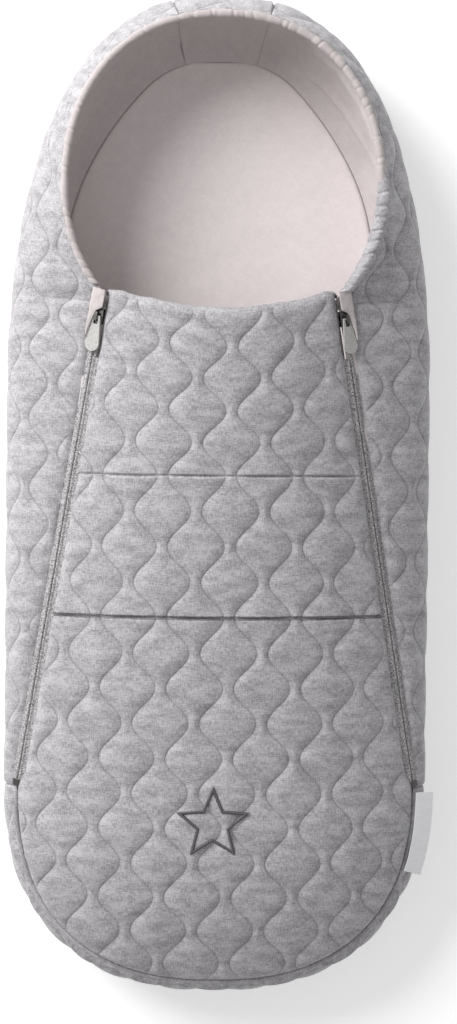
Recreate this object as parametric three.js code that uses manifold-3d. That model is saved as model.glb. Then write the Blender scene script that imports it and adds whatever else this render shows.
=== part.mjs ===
// Baby sleeping bag: a padded, zip-fronted newborn bag with a boat-shaped body, an open hood and a quilted
// cover that opens down two straight side zips. Millimetres. +X is towards the baby's left side, +Y towards the
// hood, +Z up from the face that the bag lies on. The origin is on that face, midway between the hood end and
// the foot end. Right and left in the names are +X and -X, as seen from above with the hood away.
import * as THREE from "three";
import { mergeVertices } from "three/addons/utils/BufferGeometryUtils.js";
import Module from "manifold-3d";

const wasm = await Module();
wasm.setup();

// ---- driving dimensions ----
const BAG_LENGTH = 790; // hood end to foot end
const BAG_WIDTH = 334; // across the widest part of the sides
const HOOD_CURVE_LENGTH = 335; // the stretch in which the hood end narrows
const FOOT_CURVE_LENGTH = 165; // the stretch in which the foot end narrows
const HOOD_ROUNDNESS = 2.45; // superellipse powers of the two ends of the outline
const FOOT_ROUNDNESS = 2.4;
const BULGE_HEIGHT = 44; // where the side is widest
const BASE_TUCK = 26; // how far the side wall curls under the bag
const RIM_HEIGHT = 112; // wall height at the hood end, without the rim roll
const RIM_SLOPE = 3; // slope of the hood wall at its rim
const RIM_RISE_LENGTH = 110; // the rim rises to its full height over this stretch past the zips
const HALF_WIDTH = BAG_WIDTH / 2;
const HOOD_END = BAG_LENGTH / 2;
const FOOT_END = -BAG_LENGTH / 2;
const ZIP_TOP = { x: 93, y: HOOD_END - 238, z: 104 }; // neck end of the zip line
const ZIP_BOTTOM_Z = 64; // height of the foot end of the zip line and of the foot seam
const FOOT_SEAM_INSET = 8; // plan distance from the outline to the seam round the foot
const COVER_SLOPE = 0.56; // slope of the cover and the wall where they meet the zip
const NECK_MARGIN = 3; // the opening for the zip runs on this far past its neck end
const NECKLINE_DIP = 15; // how far the middle of the neck edge dips towards the feet
const NECKLINE_CORNER_Y = ZIP_TOP.y + 1;
const HOLE_TO_HOOD_END = 155; // widest line of the head hole to the hood end
const RIM_SIDE_INSET = 42; // plan distance from the outline to the rim, at the sides and at the hood end
const RIM_END_INSET = 18;
const OPENING = {
  y: HOOD_END - HOLE_TO_HOOD_END,
  halfWidth: HALF_WIDTH - RIM_SIDE_INSET,
  hoodDepth: HOLE_TO_HOOD_END - RIM_END_INSET,
  neckDepth: 123,
  roundness: 2.2,
};

// layers, from the outside in
const FABRIC = 1.2; // quilted outer fabric
const WADDING = 9;
const LINING = 1.2;
const LAYER_GAP = 0.3;
const WALL = FABRIC + WADDING + LINING + 2 * LAYER_GAP;
const BACK_FABRIC = 1.6; // outer back panel
const MATTRESS = 20;
const FLOOR_LINING = 1.4;

// fold lines of the cover
const UPPER_FOLD_Y = 19; // sewn cross seam that the top of the cover folds back at
const LOWER_FOLD_Y = -190; // where the unzipped cover folds back over the feet
const FOLD_GAP = 0.8; // slit between the sections at a fold
const SEAM_GAP = 0.6; // clearance at a sewn seam between two solids

// zips: a straight chain with a slit down its middle for the slider's web
const ZIP_OPEN_HALF = 4.9; // centre of the chain to the edge of the fabric
const WADDING_SETBACK = 11; // centre of the chain to the edge of the wadding
const CHAIN = { near: 0.7, far: 2.6, top: -0.5, bottom: -3.3 };
const TAPE = { far: ZIP_OPEN_HALF - 1, top: -2.7 };
const SLIDER_CLEARANCE = 0.4;
const SLIDER_WIDTH = 2 * (ZIP_OPEN_HALF - SLIDER_CLEARANCE) - 0.2;
const SLIDER_CENTRE = 16; // from the neck end
const SLIDER = { width: SLIDER_WIDTH, length: 12, plate: 1.2, web: 0.8, centre: SLIDER_CENTRE };
const BAIL = { width: 2.4, length: 7, height: 3.7, wall: 1.3 }; // loop on the slider that holds the pull
const PULL = { width: 12.4, length: 28, thick: 1.6, neck: 6.4, bar: 1.2, window: 4, windowLength: 5.4 };
const PULL_AXIS_LIFT = 1.2; // the pull's axis above the slider's top plate
const STOP = { length: 5, width: 5, thick: 1.1 };
const STOP_MARGIN = 1; // stop to the end of the chain
const GARAGE = { outer: 9.5, length: 27, top: 9, thick: 1, lift: 1.3 }; // fabric tab over the neck end

// soft trims
const ROLL_RADIUS = 4.5; // rolled edge of the head hole
const ROLL_START = 10; // the roll starts this far past the neck end of the zips
const NECK_ROLL_RADIUS = 2.6; // rolled edge of the cover
const NECK_ROLL_GAP = 1.6;
const ELASTIC = { depth: 4, thick: 1.2, low: 15, high: 5, endMargin: 30 }; // band in the rim tunnel
const TUNNEL = 18; // the wadding stops this far short of the rim
const SIDE_LABEL = { length: 66, reach: 17, thick: 0.7 };
const CARE_LABEL = { width: 30, height: 42, thick: 0.8, y: 20, stand: 3 }; // stands off the lining
const STAR = { x: -3, y: -254, radius: 30, inner: 0.45, line: 2.2, thick: 0.6 };

// harness slots through the base: [name, x, y, length, width]
const SLOT_WIDTH = 12;
const SLOT_BINDING = 4; // width of the stitched binding round each slot
const SLOTS = [
  ["shoulder_right", 52, 112, 40],
  ["shoulder_left", -52, 112, 40],
  ["waist_right", 84, -62, 34],
  ["waist_left", -84, -62, 34],
  ["crotch", 0, -96, 46],
];

const COLOURS = {
  shell: 0xb2afb2,
  lining: 0xcdc4c3,
  wadding: 0xf2f1ee,
  zip: 0x77757a,
  metal: 0x8f8e92,
  label: 0xeceaf0,
  thread: 0x4d4a50,
};

function smooth(t) {
  const c = Math.min(1, Math.max(0, t));
  return c * c * (3 - 2 * c);
}
const lerp = (a, b, t) => a + (b - a) * t;
const spread = (from, to, count) => Array.from({ length: count + 1 }, (_, i) => lerp(from, to, i / count));

// ---- plan outline: the right half, from the middle of the hood end to the middle of the foot end ----
const HOOD_CENTRE_Y = HOOD_END - HOOD_CURVE_LENGTH;
const FOOT_CENTRE_Y = FOOT_END + FOOT_CURVE_LENGTH;

function denseHalfOutline() {
  const points = [];
  const steps = 240;
  const end = (angle, centreY, long, roundness) => {
    const x = HALF_WIDTH * Math.cos(angle) ** (2 / roundness);
    points.push([x, centreY + long * Math.sin(angle) ** (2 / roundness)]);
  };
  const angles = spread(0, Math.PI / 2, steps);
  for (const angle of [...angles].reverse()) end(angle, HOOD_CENTRE_Y, HOOD_CURVE_LENGTH, HOOD_ROUNDNESS);
  for (const angle of angles) end(angle, FOOT_CENTRE_Y, -FOOT_CURVE_LENGTH, FOOT_ROUNDNESS);
  points[0][0] = 0;
  points[points.length - 1][0] = 0;
  return points;
}

const OUTLINE = denseHalfOutline();
const RUN = [0];
for (let i = 1; i < OUTLINE.length; i++)
  RUN.push(RUN[i - 1] + Math.hypot(OUTLINE[i][0] - OUTLINE[i - 1][0], OUTLINE[i][1] - OUTLINE[i - 1][1]));
const HALF_RUN = RUN[RUN.length - 1];

// Point of the half outline at a distance along it from the hood end.
function outlinePoint(run) {
  const r = Math.min(Math.max(run, 0), HALF_RUN);
  let lo = 0;
  let hi = RUN.length - 1;
  while (hi - lo > 1) {
    const mid = (lo + hi) >> 1;
    if (RUN[mid] <= r) lo = mid;
    else hi = mid;
  }
  const t = (r - RUN[lo]) / Math.max(RUN[hi] - RUN[lo], 1e-9);
  return [lerp(OUTLINE[lo][0], OUTLINE[hi][0], t), lerp(OUTLINE[lo][1], OUTLINE[hi][1], t)];
}

// Unit vector into the bag, square to the outline.
function inward(run) {
  if (run < 1) return [0, -1];
  if (run > HALF_RUN - 1) return [0, 1];
  const a = outlinePoint(run - 1);
  const b = outlinePoint(run + 1);
  const long = Math.hypot(b[0] - a[0], b[1] - a[1]);
  return [(b[1] - a[1]) / long, (a[0] - b[0]) / long];
}

// Distance along the half outline at which a test on the point first fails.
function runWhere(test) {
  let lo = 0;
  let hi = HALF_RUN;
  for (let i = 0; i < 50; i++) {
    const mid = (lo + hi) / 2;
    if (test(outlinePoint(mid), mid)) lo = mid;
    else hi = mid;
  }
  return (lo + hi) / 2;
}

// ---- the line where the walls end: foot seam, zip, rim of the head hole ----
const FOOT_SEAM = { a: HALF_WIDTH - FOOT_SEAM_INSET, b: FOOT_CURVE_LENGTH - FOOT_SEAM_INSET };
const ZIP_BOTTOM = { x: FOOT_SEAM.a, y: FOOT_CENTRE_Y, z: ZIP_BOTTOM_Z };
const power = (value, exponent) => Math.max(0, value) ** exponent;
function footLevel(x, y) {
  const down = power((FOOT_CENTRE_Y - y) / FOOT_SEAM.b, FOOT_ROUNDNESS);
  return power(Math.abs(x) / FOOT_SEAM.a, FOOT_ROUNDNESS) + down;
}
const zipShare = (y) => (ZIP_TOP.y - y) / (ZIP_TOP.y - ZIP_BOTTOM.y);
const zipX = (y) => lerp(ZIP_TOP.x, ZIP_BOTTOM.x, zipShare(y));
const zipZ = (y) => lerp(ZIP_TOP.z, ZIP_BOTTOM.z, zipShare(y));
function holeLevel(x, y) {
  const depth = y > OPENING.y ? OPENING.hoodDepth : OPENING.neckDepth;
  const roundness = y > OPENING.y ? OPENING.roundness : 2;
  return power(Math.abs(x) / OPENING.halfWidth, roundness) + power(Math.abs(y - OPENING.y) / depth, roundness);
}

// How far to go in from the outline to reach level 1 of a shape.
function reach(level, run) {
  const p = outlinePoint(run);
  const n = inward(run);
  let lo = 0;
  let hi = HALF_WIDTH;
  for (let i = 0; i < 40; i++) {
    const mid = (lo + hi) / 2;
    if (level(p[0] + n[0] * mid, p[1] + n[1] * mid) > 1) lo = mid;
    else hi = mid;
  }
  return (lo + hi) / 2;
}

// ---- the cover, as a height over the plan ----
const crownPower = (y) => lerp(2, FOOT_ROUNDNESS, smooth(zipShare(y)));
const crownRise = (y) => (COVER_SLOPE * zipX(y)) / crownPower(y);
function coverZ(x, y) {
  if (y < FOOT_CENTRE_Y) return ZIP_BOTTOM.z + crownRise(FOOT_CENTRE_Y) * (1 - footLevel(x, y));
  return zipZ(y) + crownRise(y) * (1 - power(Math.abs(x) / zipX(y), crownPower(y)));
}
const coverPoint = (x, y) => new THREE.Vector3(x, y, coverZ(x, y));
const necklineY = (x) => NECKLINE_CORNER_Y - NECKLINE_DIP * power(1 - (x / ZIP_TOP.x) ** 2, 1.5);

// The top edge of the wall above a point of the outline: how far in, how high, and its slope there.
function wallTop(run) {
  const p = outlinePoint(run);
  const n = inward(run);
  const lean = (ZIP_BOTTOM.x - ZIP_TOP.x) / (ZIP_TOP.y - ZIP_BOTTOM.y);
  const toZip = (ZIP_TOP.x + (ZIP_TOP.y - p[1]) * lean - p[0]) / (n[0] + lean * n[1]);
  const zipY = p[1] + n[1] * toZip;
  const roundFoot = p[1] < FOOT_CENTRE_Y;
  const besideCover = roundFoot || (p[1] < ZIP_TOP.y && zipY <= ZIP_TOP.y);
  const besideZip = besideCover && !roundFoot;
  const inset = besideZip ? toZip : reach(roundFoot ? footLevel : holeLevel, run);
  const edgeY = p[1] + n[1] * inset;
  if (besideCover) {
    const z = roundFoot ? ZIP_BOTTOM.z : zipZ(edgeY);
    const inside = coverZ(p[0] + n[0] * (inset + 1), p[1] + n[1] * (inset + 1));
    return { inset, z, slope: inside - z };
  }
  const share = smooth((edgeY - ZIP_TOP.y) / RIM_RISE_LENGTH);
  return { inset, z: lerp(ZIP_TOP.z, RIM_HEIGHT, share), slope: lerp(COVER_SLOPE, RIM_SLOPE, share) };
}

// Profile of the wall at one place of the outline, from the edge under the bag (v = 0) up to the top edge
// (v = 1): how far in from the outline, and how high.
const TUCK_SHARE = 0.3; // share of v below the widest level
function wallProfile(top, v) {
  if (v < TUCK_SHARE) {
    const a = (Math.PI / 2) * (v / TUCK_SHARE);
    return [BASE_TUCK * (1 - Math.sin(a)), BULGE_HEIGHT * (1 - Math.cos(a))];
  }
  const rise = top.z - BULGE_HEIGHT;
  const back = Math.min(0.55 * top.inset, (0.6 * rise) / top.slope);
  const curve = new THREE.CubicBezierCurve(
    new THREE.Vector2(0, BULGE_HEIGHT),
    new THREE.Vector2(0, BULGE_HEIGHT + 0.5 * rise),
    new THREE.Vector2(top.inset - back, top.z - back * top.slope),
    new THREE.Vector2(top.inset, top.z),
  );
  return curve.getPoint((v - TUCK_SHARE) / (1 - TUCK_SHARE)).toArray();
}

function wallPoint(run, v) {
  const p = outlinePoint(run);
  const n = inward(run);
  const [inset, z] = wallProfile(wallTop(run), v);
  return new THREE.Vector3(p[0] + n[0] * inset, p[1] + n[1] * inset, z);
}

// ---- solids ----
function normalOf(at, u, v, du, dv) {
  const a = at(u + du, v).sub(at(u - du, v));
  const b = at(u, v + dv).sub(at(u, v - dv));
  return a.cross(b).normalize();
}

// A layer of a surface: the closed solid between two depths under it. at(u, v) is the surface, us and vs its
// grid, and side is 1 or -1 so that the normal points out of the bag. ends(u) lists how far short of the
// last row the rows that take its place stand, and skip is how many of the first rows are left out.
function layer(at, us, vs, near, far, side, step, ends = () => [0], skip = 0) {
  const row = (u, depth) => {
    const points = vs.map((v) => at(u, v).addScaledVector(normalOf(at, u, v, step[0], step[1]), -depth * side));
    const last = points.pop();
    const before = points[points.length - 1];
    const long = last.distanceTo(before);
    return [...points, ...ends(u).map((short) => last.clone().lerp(before, short / long))].slice(skip);
  };
  const sheets = [near, far].map((depth) => us.map((u) => row(u, depth)));
  const nu = us.length;
  const nv = sheets[0][0].length;
  const positions = sheets.flat(2).flatMap((p) => [p.x, p.y, p.z]);
  const id = (sheet, i, j) => (sheet * nu + i) * nv + j;
  const faces = [];
  const quad = (a, b, c, d) => faces.push(a, b, c, a, c, d);
  for (let i = 0; i + 1 < nu; i++)
    for (let j = 0; j + 1 < nv; j++) {
      quad(id(0, i, j), id(0, i + 1, j), id(0, i + 1, j + 1), id(0, i, j + 1));
      quad(id(1, i, j), id(1, i, j + 1), id(1, i + 1, j + 1), id(1, i + 1, j));
    }
  for (let i = 0; i + 1 < nu; i++) {
    quad(id(0, i, 0), id(1, i, 0), id(1, i + 1, 0), id(0, i + 1, 0));
    quad(id(0, i, nv - 1), id(0, i + 1, nv - 1), id(1, i + 1, nv - 1), id(1, i, nv - 1));
  }
  for (let j = 0; j + 1 < nv; j++) {
    quad(id(0, 0, j), id(0, 0, j + 1), id(1, 0, j + 1), id(1, 0, j));
    quad(id(0, nu - 1, j), id(1, nu - 1, j), id(1, nu - 1, j + 1), id(0, nu - 1, j + 1));
  }
  if (side < 0) turnFaces(faces);
  const attribute = new THREE.Float32BufferAttribute(positions, 3);
  return new THREE.BufferGeometry().setAttribute("position", attribute).setIndex(faces);
}

// Turns every triangle of an index round.
function turnFaces(index) {
  for (let i = 0; i < index.length; i += 3) [index[i + 1], index[i + 2]] = [index[i + 2], index[i + 1]];
}

function mirrored(geometry) {
  const copy = geometry.clone().scale(-1, 1, 1);
  turnFaces(copy.index.array);
  return copy;
}

const group = new THREE.Group();
function add(name, geometry, colour, metal = 0) {
  const finish = { color: colour, roughness: metal ? 0.4 : 0.95, metalness: metal };
  const mesh = new THREE.Mesh(geometry, new THREE.MeshStandardMaterial(finish));
  mesh.name = name;
  group.add(mesh);
}

// The three layers of a sewn panel: outer fabric, wadding and lining. The wadding stops short of a zip.
const DEPTHS = {
  shell: [0, FABRIC],
  wadding: [FABRIC + LAYER_GAP, FABRIC + LAYER_GAP + WADDING],
  lining: [WALL - LINING, WALL],
};

// ---- runs of the wall grid, shared by the base so that their edges stay parallel ----
const HOOD_SEAM_X = 40; // the two seams that join the hood panel to the sides
const hoodSeamRun = runWhere((p) => p[0] < HOOD_SEAM_X);
const footSeamRun = runWhere((p) => p[1] > ZIP_BOTTOM.y);
const hoodRuns = spread(-hoodSeamRun, hoodSeamRun, 4);
const neckRun = runWhere((p, run) => wallPoint(run, 1).y > ZIP_TOP.y + NECK_MARGIN);
const hoodSideRuns = spread(hoodSeamRun + SEAM_GAP, neckRun, 8);
const sideRuns = [...hoodSideRuns, ...spread(neckRun, footSeamRun - SEAM_GAP, 8).slice(1)];
const footReach = HALF_RUN - footSeamRun - SEAM_GAP;
const footRuns = spread(-footReach, footReach, 16);
const halfRuns = [
  ...hoodRuns.filter((run) => run > -1),
  ...sideRuns,
  ...footRuns.filter((run) => run > -1).reverse().map((run) => HALF_RUN - run),
];

// ---- base: back panel, mattress pad and floor lining, with the harness slots ----
const BASE_INSET = BASE_TUCK + SEAM_GAP;
const MATTRESS_TOP = BACK_FABRIC + LAYER_GAP + MATTRESS;
const FLOOR_TOP = MATTRESS_TOP + LAYER_GAP + FLOOR_LINING;
const BINDING_THICK = 1;

function slotPath(path, x, y, long, wide) {
  const reachX = (long - SLOT_WIDTH) / 2;
  path.absarc(x + reachX, y, wide / 2, -Math.PI / 2, Math.PI / 2, false);
  path.absarc(x - reachX, y, wide / 2, Math.PI / 2, (3 * Math.PI) / 2, false);
  path.closePath();
  return path;
}

function baseShape() {
  const side = halfRuns.map((run) => {
    const p = outlinePoint(run);
    const n = inward(run);
    return new THREE.Vector2(p[0] + n[0] * BASE_INSET, p[1] + n[1] * BASE_INSET);
  });
  const other = side.slice(1, -1).reverse().map((p) => new THREE.Vector2(-p.x, p.y));
  const shape = new THREE.Shape([...side, ...other]);
  for (const [, x, y, long] of SLOTS) shape.holes.push(slotPath(new THREE.Path(), x, y, long, SLOT_WIDTH));
  return shape;
}

function flatSolid(shape, from, thick) {
  const settings = { depth: thick, bevelEnabled: false, curveSegments: 4 };
  return new THREE.ExtrudeGeometry(shape, settings).translate(0, 0, from);
}

function buildBase() {
  add("back_panel", flatSolid(baseShape(), 0, BACK_FABRIC), COLOURS.shell);
  add("mattress_pad", flatSolid(baseShape(), BACK_FABRIC + LAYER_GAP, MATTRESS), COLOURS.wadding);
  add("floor_lining", flatSolid(baseShape(), MATTRESS_TOP + LAYER_GAP, FLOOR_LINING), COLOURS.lining);
  for (const [name, x, y, long] of SLOTS) {
    const ring = slotPath(new THREE.Shape(), x, y, long, SLOT_WIDTH + 2 * SLOT_BINDING);
    ring.holes.push(slotPath(new THREE.Path(), x, y, long, SLOT_WIDTH));
    add("slot_binding_" + name, flatSolid(ring, FLOOR_TOP + LAYER_GAP, BINDING_THICK), COLOURS.lining);
  }
}

// ---- walls ----
const PANEL_V = [0, 0.11, 0.22, 0.34, 0.56, 1];

// 1 beside the zip, fading to 0 over one step of the grid round the hood.
const zipPresence = (run) => smooth(1 - (neckRun - run) / (sideRuns[1] - sideRuns[0]));
const waddingEnd = (run) => lerp(TUNNEL, WADDING_SETBACK, zipPresence(run));
const sideEnds = {
  shell: (run) => [waddingEnd(run), ZIP_OPEN_HALF * zipPresence(run)],
  wadding: (run) => [waddingEnd(run)],
  lining: (run) => [waddingEnd(run), (ZIP_OPEN_HALF + 1) * zipPresence(run)],
};

// The hood and foot panels cross the middle: their runs go from the left (negative) to the right.
function acrossMiddle(run, v, start) {
  const p = wallPoint(Math.abs(start - Math.abs(run)), v);
  return run < 0 ? p.setX(-p.x) : p;
}

function buildWalls() {
  const step = [0.5, 0.002];
  for (const [kind, [near, far]] of Object.entries(DEPTHS)) {
    const side = layer(wallPoint, sideRuns, PANEL_V, near, far, -1, step, sideEnds[kind]);
    add("side_" + kind + "_right", side, COLOURS[kind]);
    add("side_" + kind + "_left", mirrored(side), COLOURS[kind]);
    const rim = () => (kind === "wadding" ? [TUNNEL] : [TUNNEL, 0]);
    const hood = (run, v) => acrossMiddle(run, v, 0);
    add("hood_" + kind, layer(hood, hoodRuns, PANEL_V, near, far, -1, step, rim), COLOURS[kind]);
    const foot = (run, v) => acrossMiddle(run, v, HALF_RUN);
    add("foot_wall_" + kind, layer(foot, footRuns, PANEL_V, near, far, 1, step), COLOURS[kind]);
  }
}

// ---- cover: lapel, apron and the fixed part over the feet ----
const zipLean = (ZIP_BOTTOM.x - ZIP_TOP.x) / (ZIP_TOP.y - ZIP_BOTTOM.y);
const PLAN_PER_SLANT = Math.sqrt(1 + zipLean ** 2) / Math.sqrt(1 + COVER_SLOPE ** 2);
const coverSetback = { shell: ZIP_OPEN_HALF, wadding: WADDING_SETBACK, lining: ZIP_OPEN_HALF + 1 };

// A piece of the cover between the line topY(share) and the line bottomY, share running from -1 to 1.
function coverPiece(topY, bottomY, setback) {
  return (share, v) => {
    const y = lerp(topY(share), bottomY, v);
    return coverPoint(share * (zipX(y) - setback * PLAN_PER_SLANT), y);
  };
}

// The part over the feet runs from the lower fold to the foot seam. Its sides are the ends of the zips.
function footPiece(setback) {
  return (share, v) => {
    const foldY = LOWER_FOLD_Y - FOLD_GAP / 2;
    const side = setback * PLAN_PER_SLANT;
    const fold = new THREE.Vector2(share * (zipX(foldY) - side), foldY);
    const run = HALF_RUN - Math.abs(share) * (HALF_RUN - footSeamRun);
    const p = outlinePoint(run);
    const n = inward(run);
    const corner = smooth((Math.abs(share) - 0.7) / 0.3);
    const inset = wallTop(run).inset + lerp(SEAM_GAP, side, corner);
    const seam = new THREE.Vector2(Math.sign(share || 1) * (p[0] + n[0] * inset), p[1] + n[1] * inset);
    const plan = fold.lerp(seam, v);
    return coverPoint(plan.x, plan.y);
  };
}

function buildCover() {
  const across = spread(-1, 1, 14);
  const footAcross = spread(-1, 1, 16);
  const down = (count) => spread(0, 1, count);
  const step = [0.004, 0.004];
  const upper = () => UPPER_FOLD_Y - FOLD_GAP / 2;
  for (const [kind, [near, far]] of Object.entries(DEPTHS)) {
    const back = coverSetback[kind];
    const neck = (share) => necklineY(share * (ZIP_TOP.x - back * PLAN_PER_SLANT));
    const lapel = coverPiece(neck, UPPER_FOLD_Y + FOLD_GAP / 2, back);
    const apron = coverPiece(upper, LOWER_FOLD_Y + FOLD_GAP / 2, back);
    add("lapel_" + kind, layer(lapel, across, down(5), near, far, -1, step), COLOURS[kind]);
    add("apron_" + kind, layer(apron, across, down(6), near, far, -1, step), COLOURS[kind]);
    add("foot_cover_" + kind, layer(footPiece(back), footAcross, down(8), near, far, -1, step), COLOURS[kind]);
  }
}

// ---- zips: X across the chain and out of the bag, Y along it towards the neck, Z off the cover ----
const zipStart = new THREE.Vector3(ZIP_TOP.x, ZIP_TOP.y, ZIP_TOP.z);
const zipEnd = new THREE.Vector3(ZIP_BOTTOM.x, ZIP_BOTTOM.y, ZIP_BOTTOM.z);
const ZIP_LENGTH = zipStart.distanceTo(zipEnd);
const zipAlong = zipStart.clone().sub(zipEnd).normalize();
const zipAcross = new THREE.Vector3(1, zipLean, -COVER_SLOPE * Math.sqrt(1 + zipLean ** 2));
zipAcross.addScaledVector(zipAlong, -zipAcross.dot(zipAlong)).normalize();
const zipUp = zipAcross.clone().cross(zipAlong);
const zipFrame = new THREE.Matrix4().makeBasis(zipAcross, zipAlong, zipUp).setPosition(zipStart);
const alongAtY = (y) => ((ZIP_TOP.y - y) / (ZIP_TOP.y - ZIP_BOTTOM.y)) * ZIP_LENGTH;

// A solid with a constant section across the chain, between two distances from the neck end.
function zipExtrusion(points, from, to) {
  const shape = new THREE.Shape(points.map(([x, z]) => new THREE.Vector2(x, z)));
  const solid = new THREE.ExtrudeGeometry(shape, { depth: to - from, bevelEnabled: false });
  return solid.rotateX(Math.PI / 2).translate(0, -from, 0);
}

function zipHalf(side, from, to) {
  const { near, far, top, bottom } = CHAIN;
  const section = [
    [near, bottom],
    [TAPE.far, bottom],
    [TAPE.far, TAPE.top],
    [far, TAPE.top],
    [far, top],
    [near, top],
  ];
  return zipExtrusion(section.map(([x, z]) => [x * side, z]), from, to);
}

function solidFrom(geometry) {
  const bare = geometry.clone();
  bare.deleteAttribute("normal");
  bare.deleteAttribute("uv");
  const merged = mergeVertices(bare, 1e-4);
  const vertProperties = new Float32Array(merged.attributes.position.array);
  const triVerts = new Uint32Array(merged.index.array);
  return new wasm.Manifold(new wasm.Mesh({ numProp: 3, vertProperties, triVerts }));
}

function geometryFrom(solid) {
  const { vertProperties, triVerts } = solid.getMesh();
  const positions = new THREE.BufferAttribute(new Float32Array(vertProperties), 3);
  return new THREE.BufferGeometry().setAttribute("position", positions).setIndex(Array.from(triVerts));
}

const PLATE_BOTTOM = CHAIN.top + SLIDER_CLEARANCE;
const PLATE_TOP = PLATE_BOTTOM + SLIDER.plate;
const PULL_AXIS_Z = PLATE_TOP + PULL_AXIS_LIFT;

function sliderGeometry() {
  const half = SLIDER.width / 2;
  const web = SLIDER.web / 2;
  const under = CHAIN.bottom - SLIDER_CLEARANCE;
  const right = [
    [half, under - SLIDER.plate],
    [half, under],
    [web, under],
    [web, PLATE_BOTTOM],
    [half, PLATE_BOTTOM],
    [half, PLATE_TOP],
  ];
  const section = [...right, ...right.map(([x, z]) => [-x, z]).reverse()];
  const body = zipExtrusion(section, SLIDER.centre - SLIDER.length / 2, SLIDER.centre + SLIDER.length / 2);
  const low = PLATE_TOP - SLIDER.plate / 2;
  const bail = new THREE.BoxGeometry(BAIL.width, BAIL.length, BAIL.height + SLIDER.plate / 2);
  bail.translate(0, -SLIDER.centre, (low + PLATE_TOP + BAIL.height) / 2);
  const open = new THREE.BoxGeometry(BAIL.width + 1, BAIL.length - 2 * BAIL.wall, BAIL.height - BAIL.wall);
  open.translate(0, -SLIDER.centre, PLATE_TOP + (BAIL.height - BAIL.wall) / 2);
  return geometryFrom(solidFrom(body).add(solidFrom(bail)).subtract(solidFrom(open)));
}

function pullGeometry() {
  const round = PULL.width / 2;
  const neck = PULL.neck / 2;
  const bar = PULL.bar / 2;
  const centre = -(PULL.length - bar - round);
  const shape = new THREE.Shape();
  shape.moveTo(neck, bar).lineTo(-neck, bar).lineTo(-round, centre);
  shape.absarc(0, centre, round, Math.PI, 2 * Math.PI, false);
  shape.closePath();
  const side = PULL.window / 2;
  const end = -bar - PULL.windowLength;
  const window = new THREE.Path().moveTo(side, -bar).lineTo(-side, -bar).lineTo(-side, end);
  shape.holes.push(window.lineTo(side, end).closePath());
  const plate = new THREE.ExtrudeGeometry(shape, { depth: PULL.thick, bevelEnabled: false, curveSegments: 8 });
  return plate.translate(0, -SLIDER.centre, PULL_AXIS_Z - PULL.thick / 2);
}

// The tab lies beside the slider on the outside and closes over the end of the chain.
function garageGeometry() {
  const inner = -ZIP_OPEN_HALF + SEAM_GAP;
  const outline = [
    [inner, 2],
    [GARAGE.outer, 2],
    [GARAGE.outer - 2, -GARAGE.length],
    [ZIP_OPEN_HALF, -GARAGE.length],
  ];
  outline.push([ZIP_OPEN_HALF, -GARAGE.top], [inner, -GARAGE.top]);
  const shape = new THREE.Shape(outline.map(([x, y]) => new THREE.Vector2(x, y)));
  return flatSolid(shape, GARAGE.lift, GARAGE.thick);
}

function stopGeometry(centreX, width, from) {
  const low = CHAIN.top + LAYER_GAP;
  const high = low + STOP.thick;
  const near = centreX - width / 2;
  const far = centreX + width / 2;
  return zipExtrusion([[near, low], [far, low], [far, high], [near, high]], from, from + STOP.length);
}

function buildZips() {
  const pullEnd = SLIDER.centre + PULL.length + 3;
  const half = FOLD_GAP / 2;
  const pieces = {
    zip_side: [zipHalf(1, 0, ZIP_LENGTH - SEAM_GAP), "zip"],
    zip_lapel: [zipHalf(-1, pullEnd, alongAtY(UPPER_FOLD_Y) - half), "zip"],
    zip_apron: [zipHalf(-1, alongAtY(UPPER_FOLD_Y) + half, alongAtY(LOWER_FOLD_Y) - half), "zip"],
    zip_foot: [zipHalf(-1, alongAtY(LOWER_FOLD_Y) + half, ZIP_LENGTH - SEAM_GAP), "zip"],
    slider: [sliderGeometry(), "metal"],
    pull: [pullGeometry(), "zip"],
    top_stop: [stopGeometry((CHAIN.near + STOP.width) / 2, STOP.width - CHAIN.near, STOP_MARGIN), "metal"],
    bottom_stop: [stopGeometry(0, STOP.width, ZIP_LENGTH - STOP_MARGIN - STOP.length), "metal"],
    zip_garage: [garageGeometry(), "lining"],
  };
  for (const [name, [geometry, paint]] of Object.entries(pieces)) {
    const placed = (geometry.index ? geometry : mergeVertices(geometry)).clone().applyMatrix4(zipFrame);
    add(name + "_right", placed, COLOURS[paint], paint === "metal" ? 1 : 0);
    add(name + "_left", mirrored(placed), COLOURS[paint], paint === "metal" ? 1 : 0);
  }
}

// ---- rolled edges, rim elastic, labels and the embroidered star ----
function rope(points, radius, steps) {
  const section = new THREE.Shape().absarc(0, 0, radius, 0, 2 * Math.PI, false);
  const extrudePath = new THREE.CatmullRomCurve3(points);
  return new THREE.ExtrudeGeometry(section, { steps, extrudePath, curveSegments: 4, bevelEnabled: false });
}

// Centre line of the rolled edge: beyond the top edge of the wall, at the middle of its thickness.
function rimPoint(run) {
  const edge = wallPoint(run, 1);
  const along = edge.clone().sub(wallPoint(run, 0.99)).normalize();
  const outward = normalOf(wallPoint, run, 1, 0.5, 0.002).negate();
  return edge.addScaledVector(outward, -WALL / 2).addScaledVector(along, ROLL_RADIUS + LAYER_GAP + 0.3);
}

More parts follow.
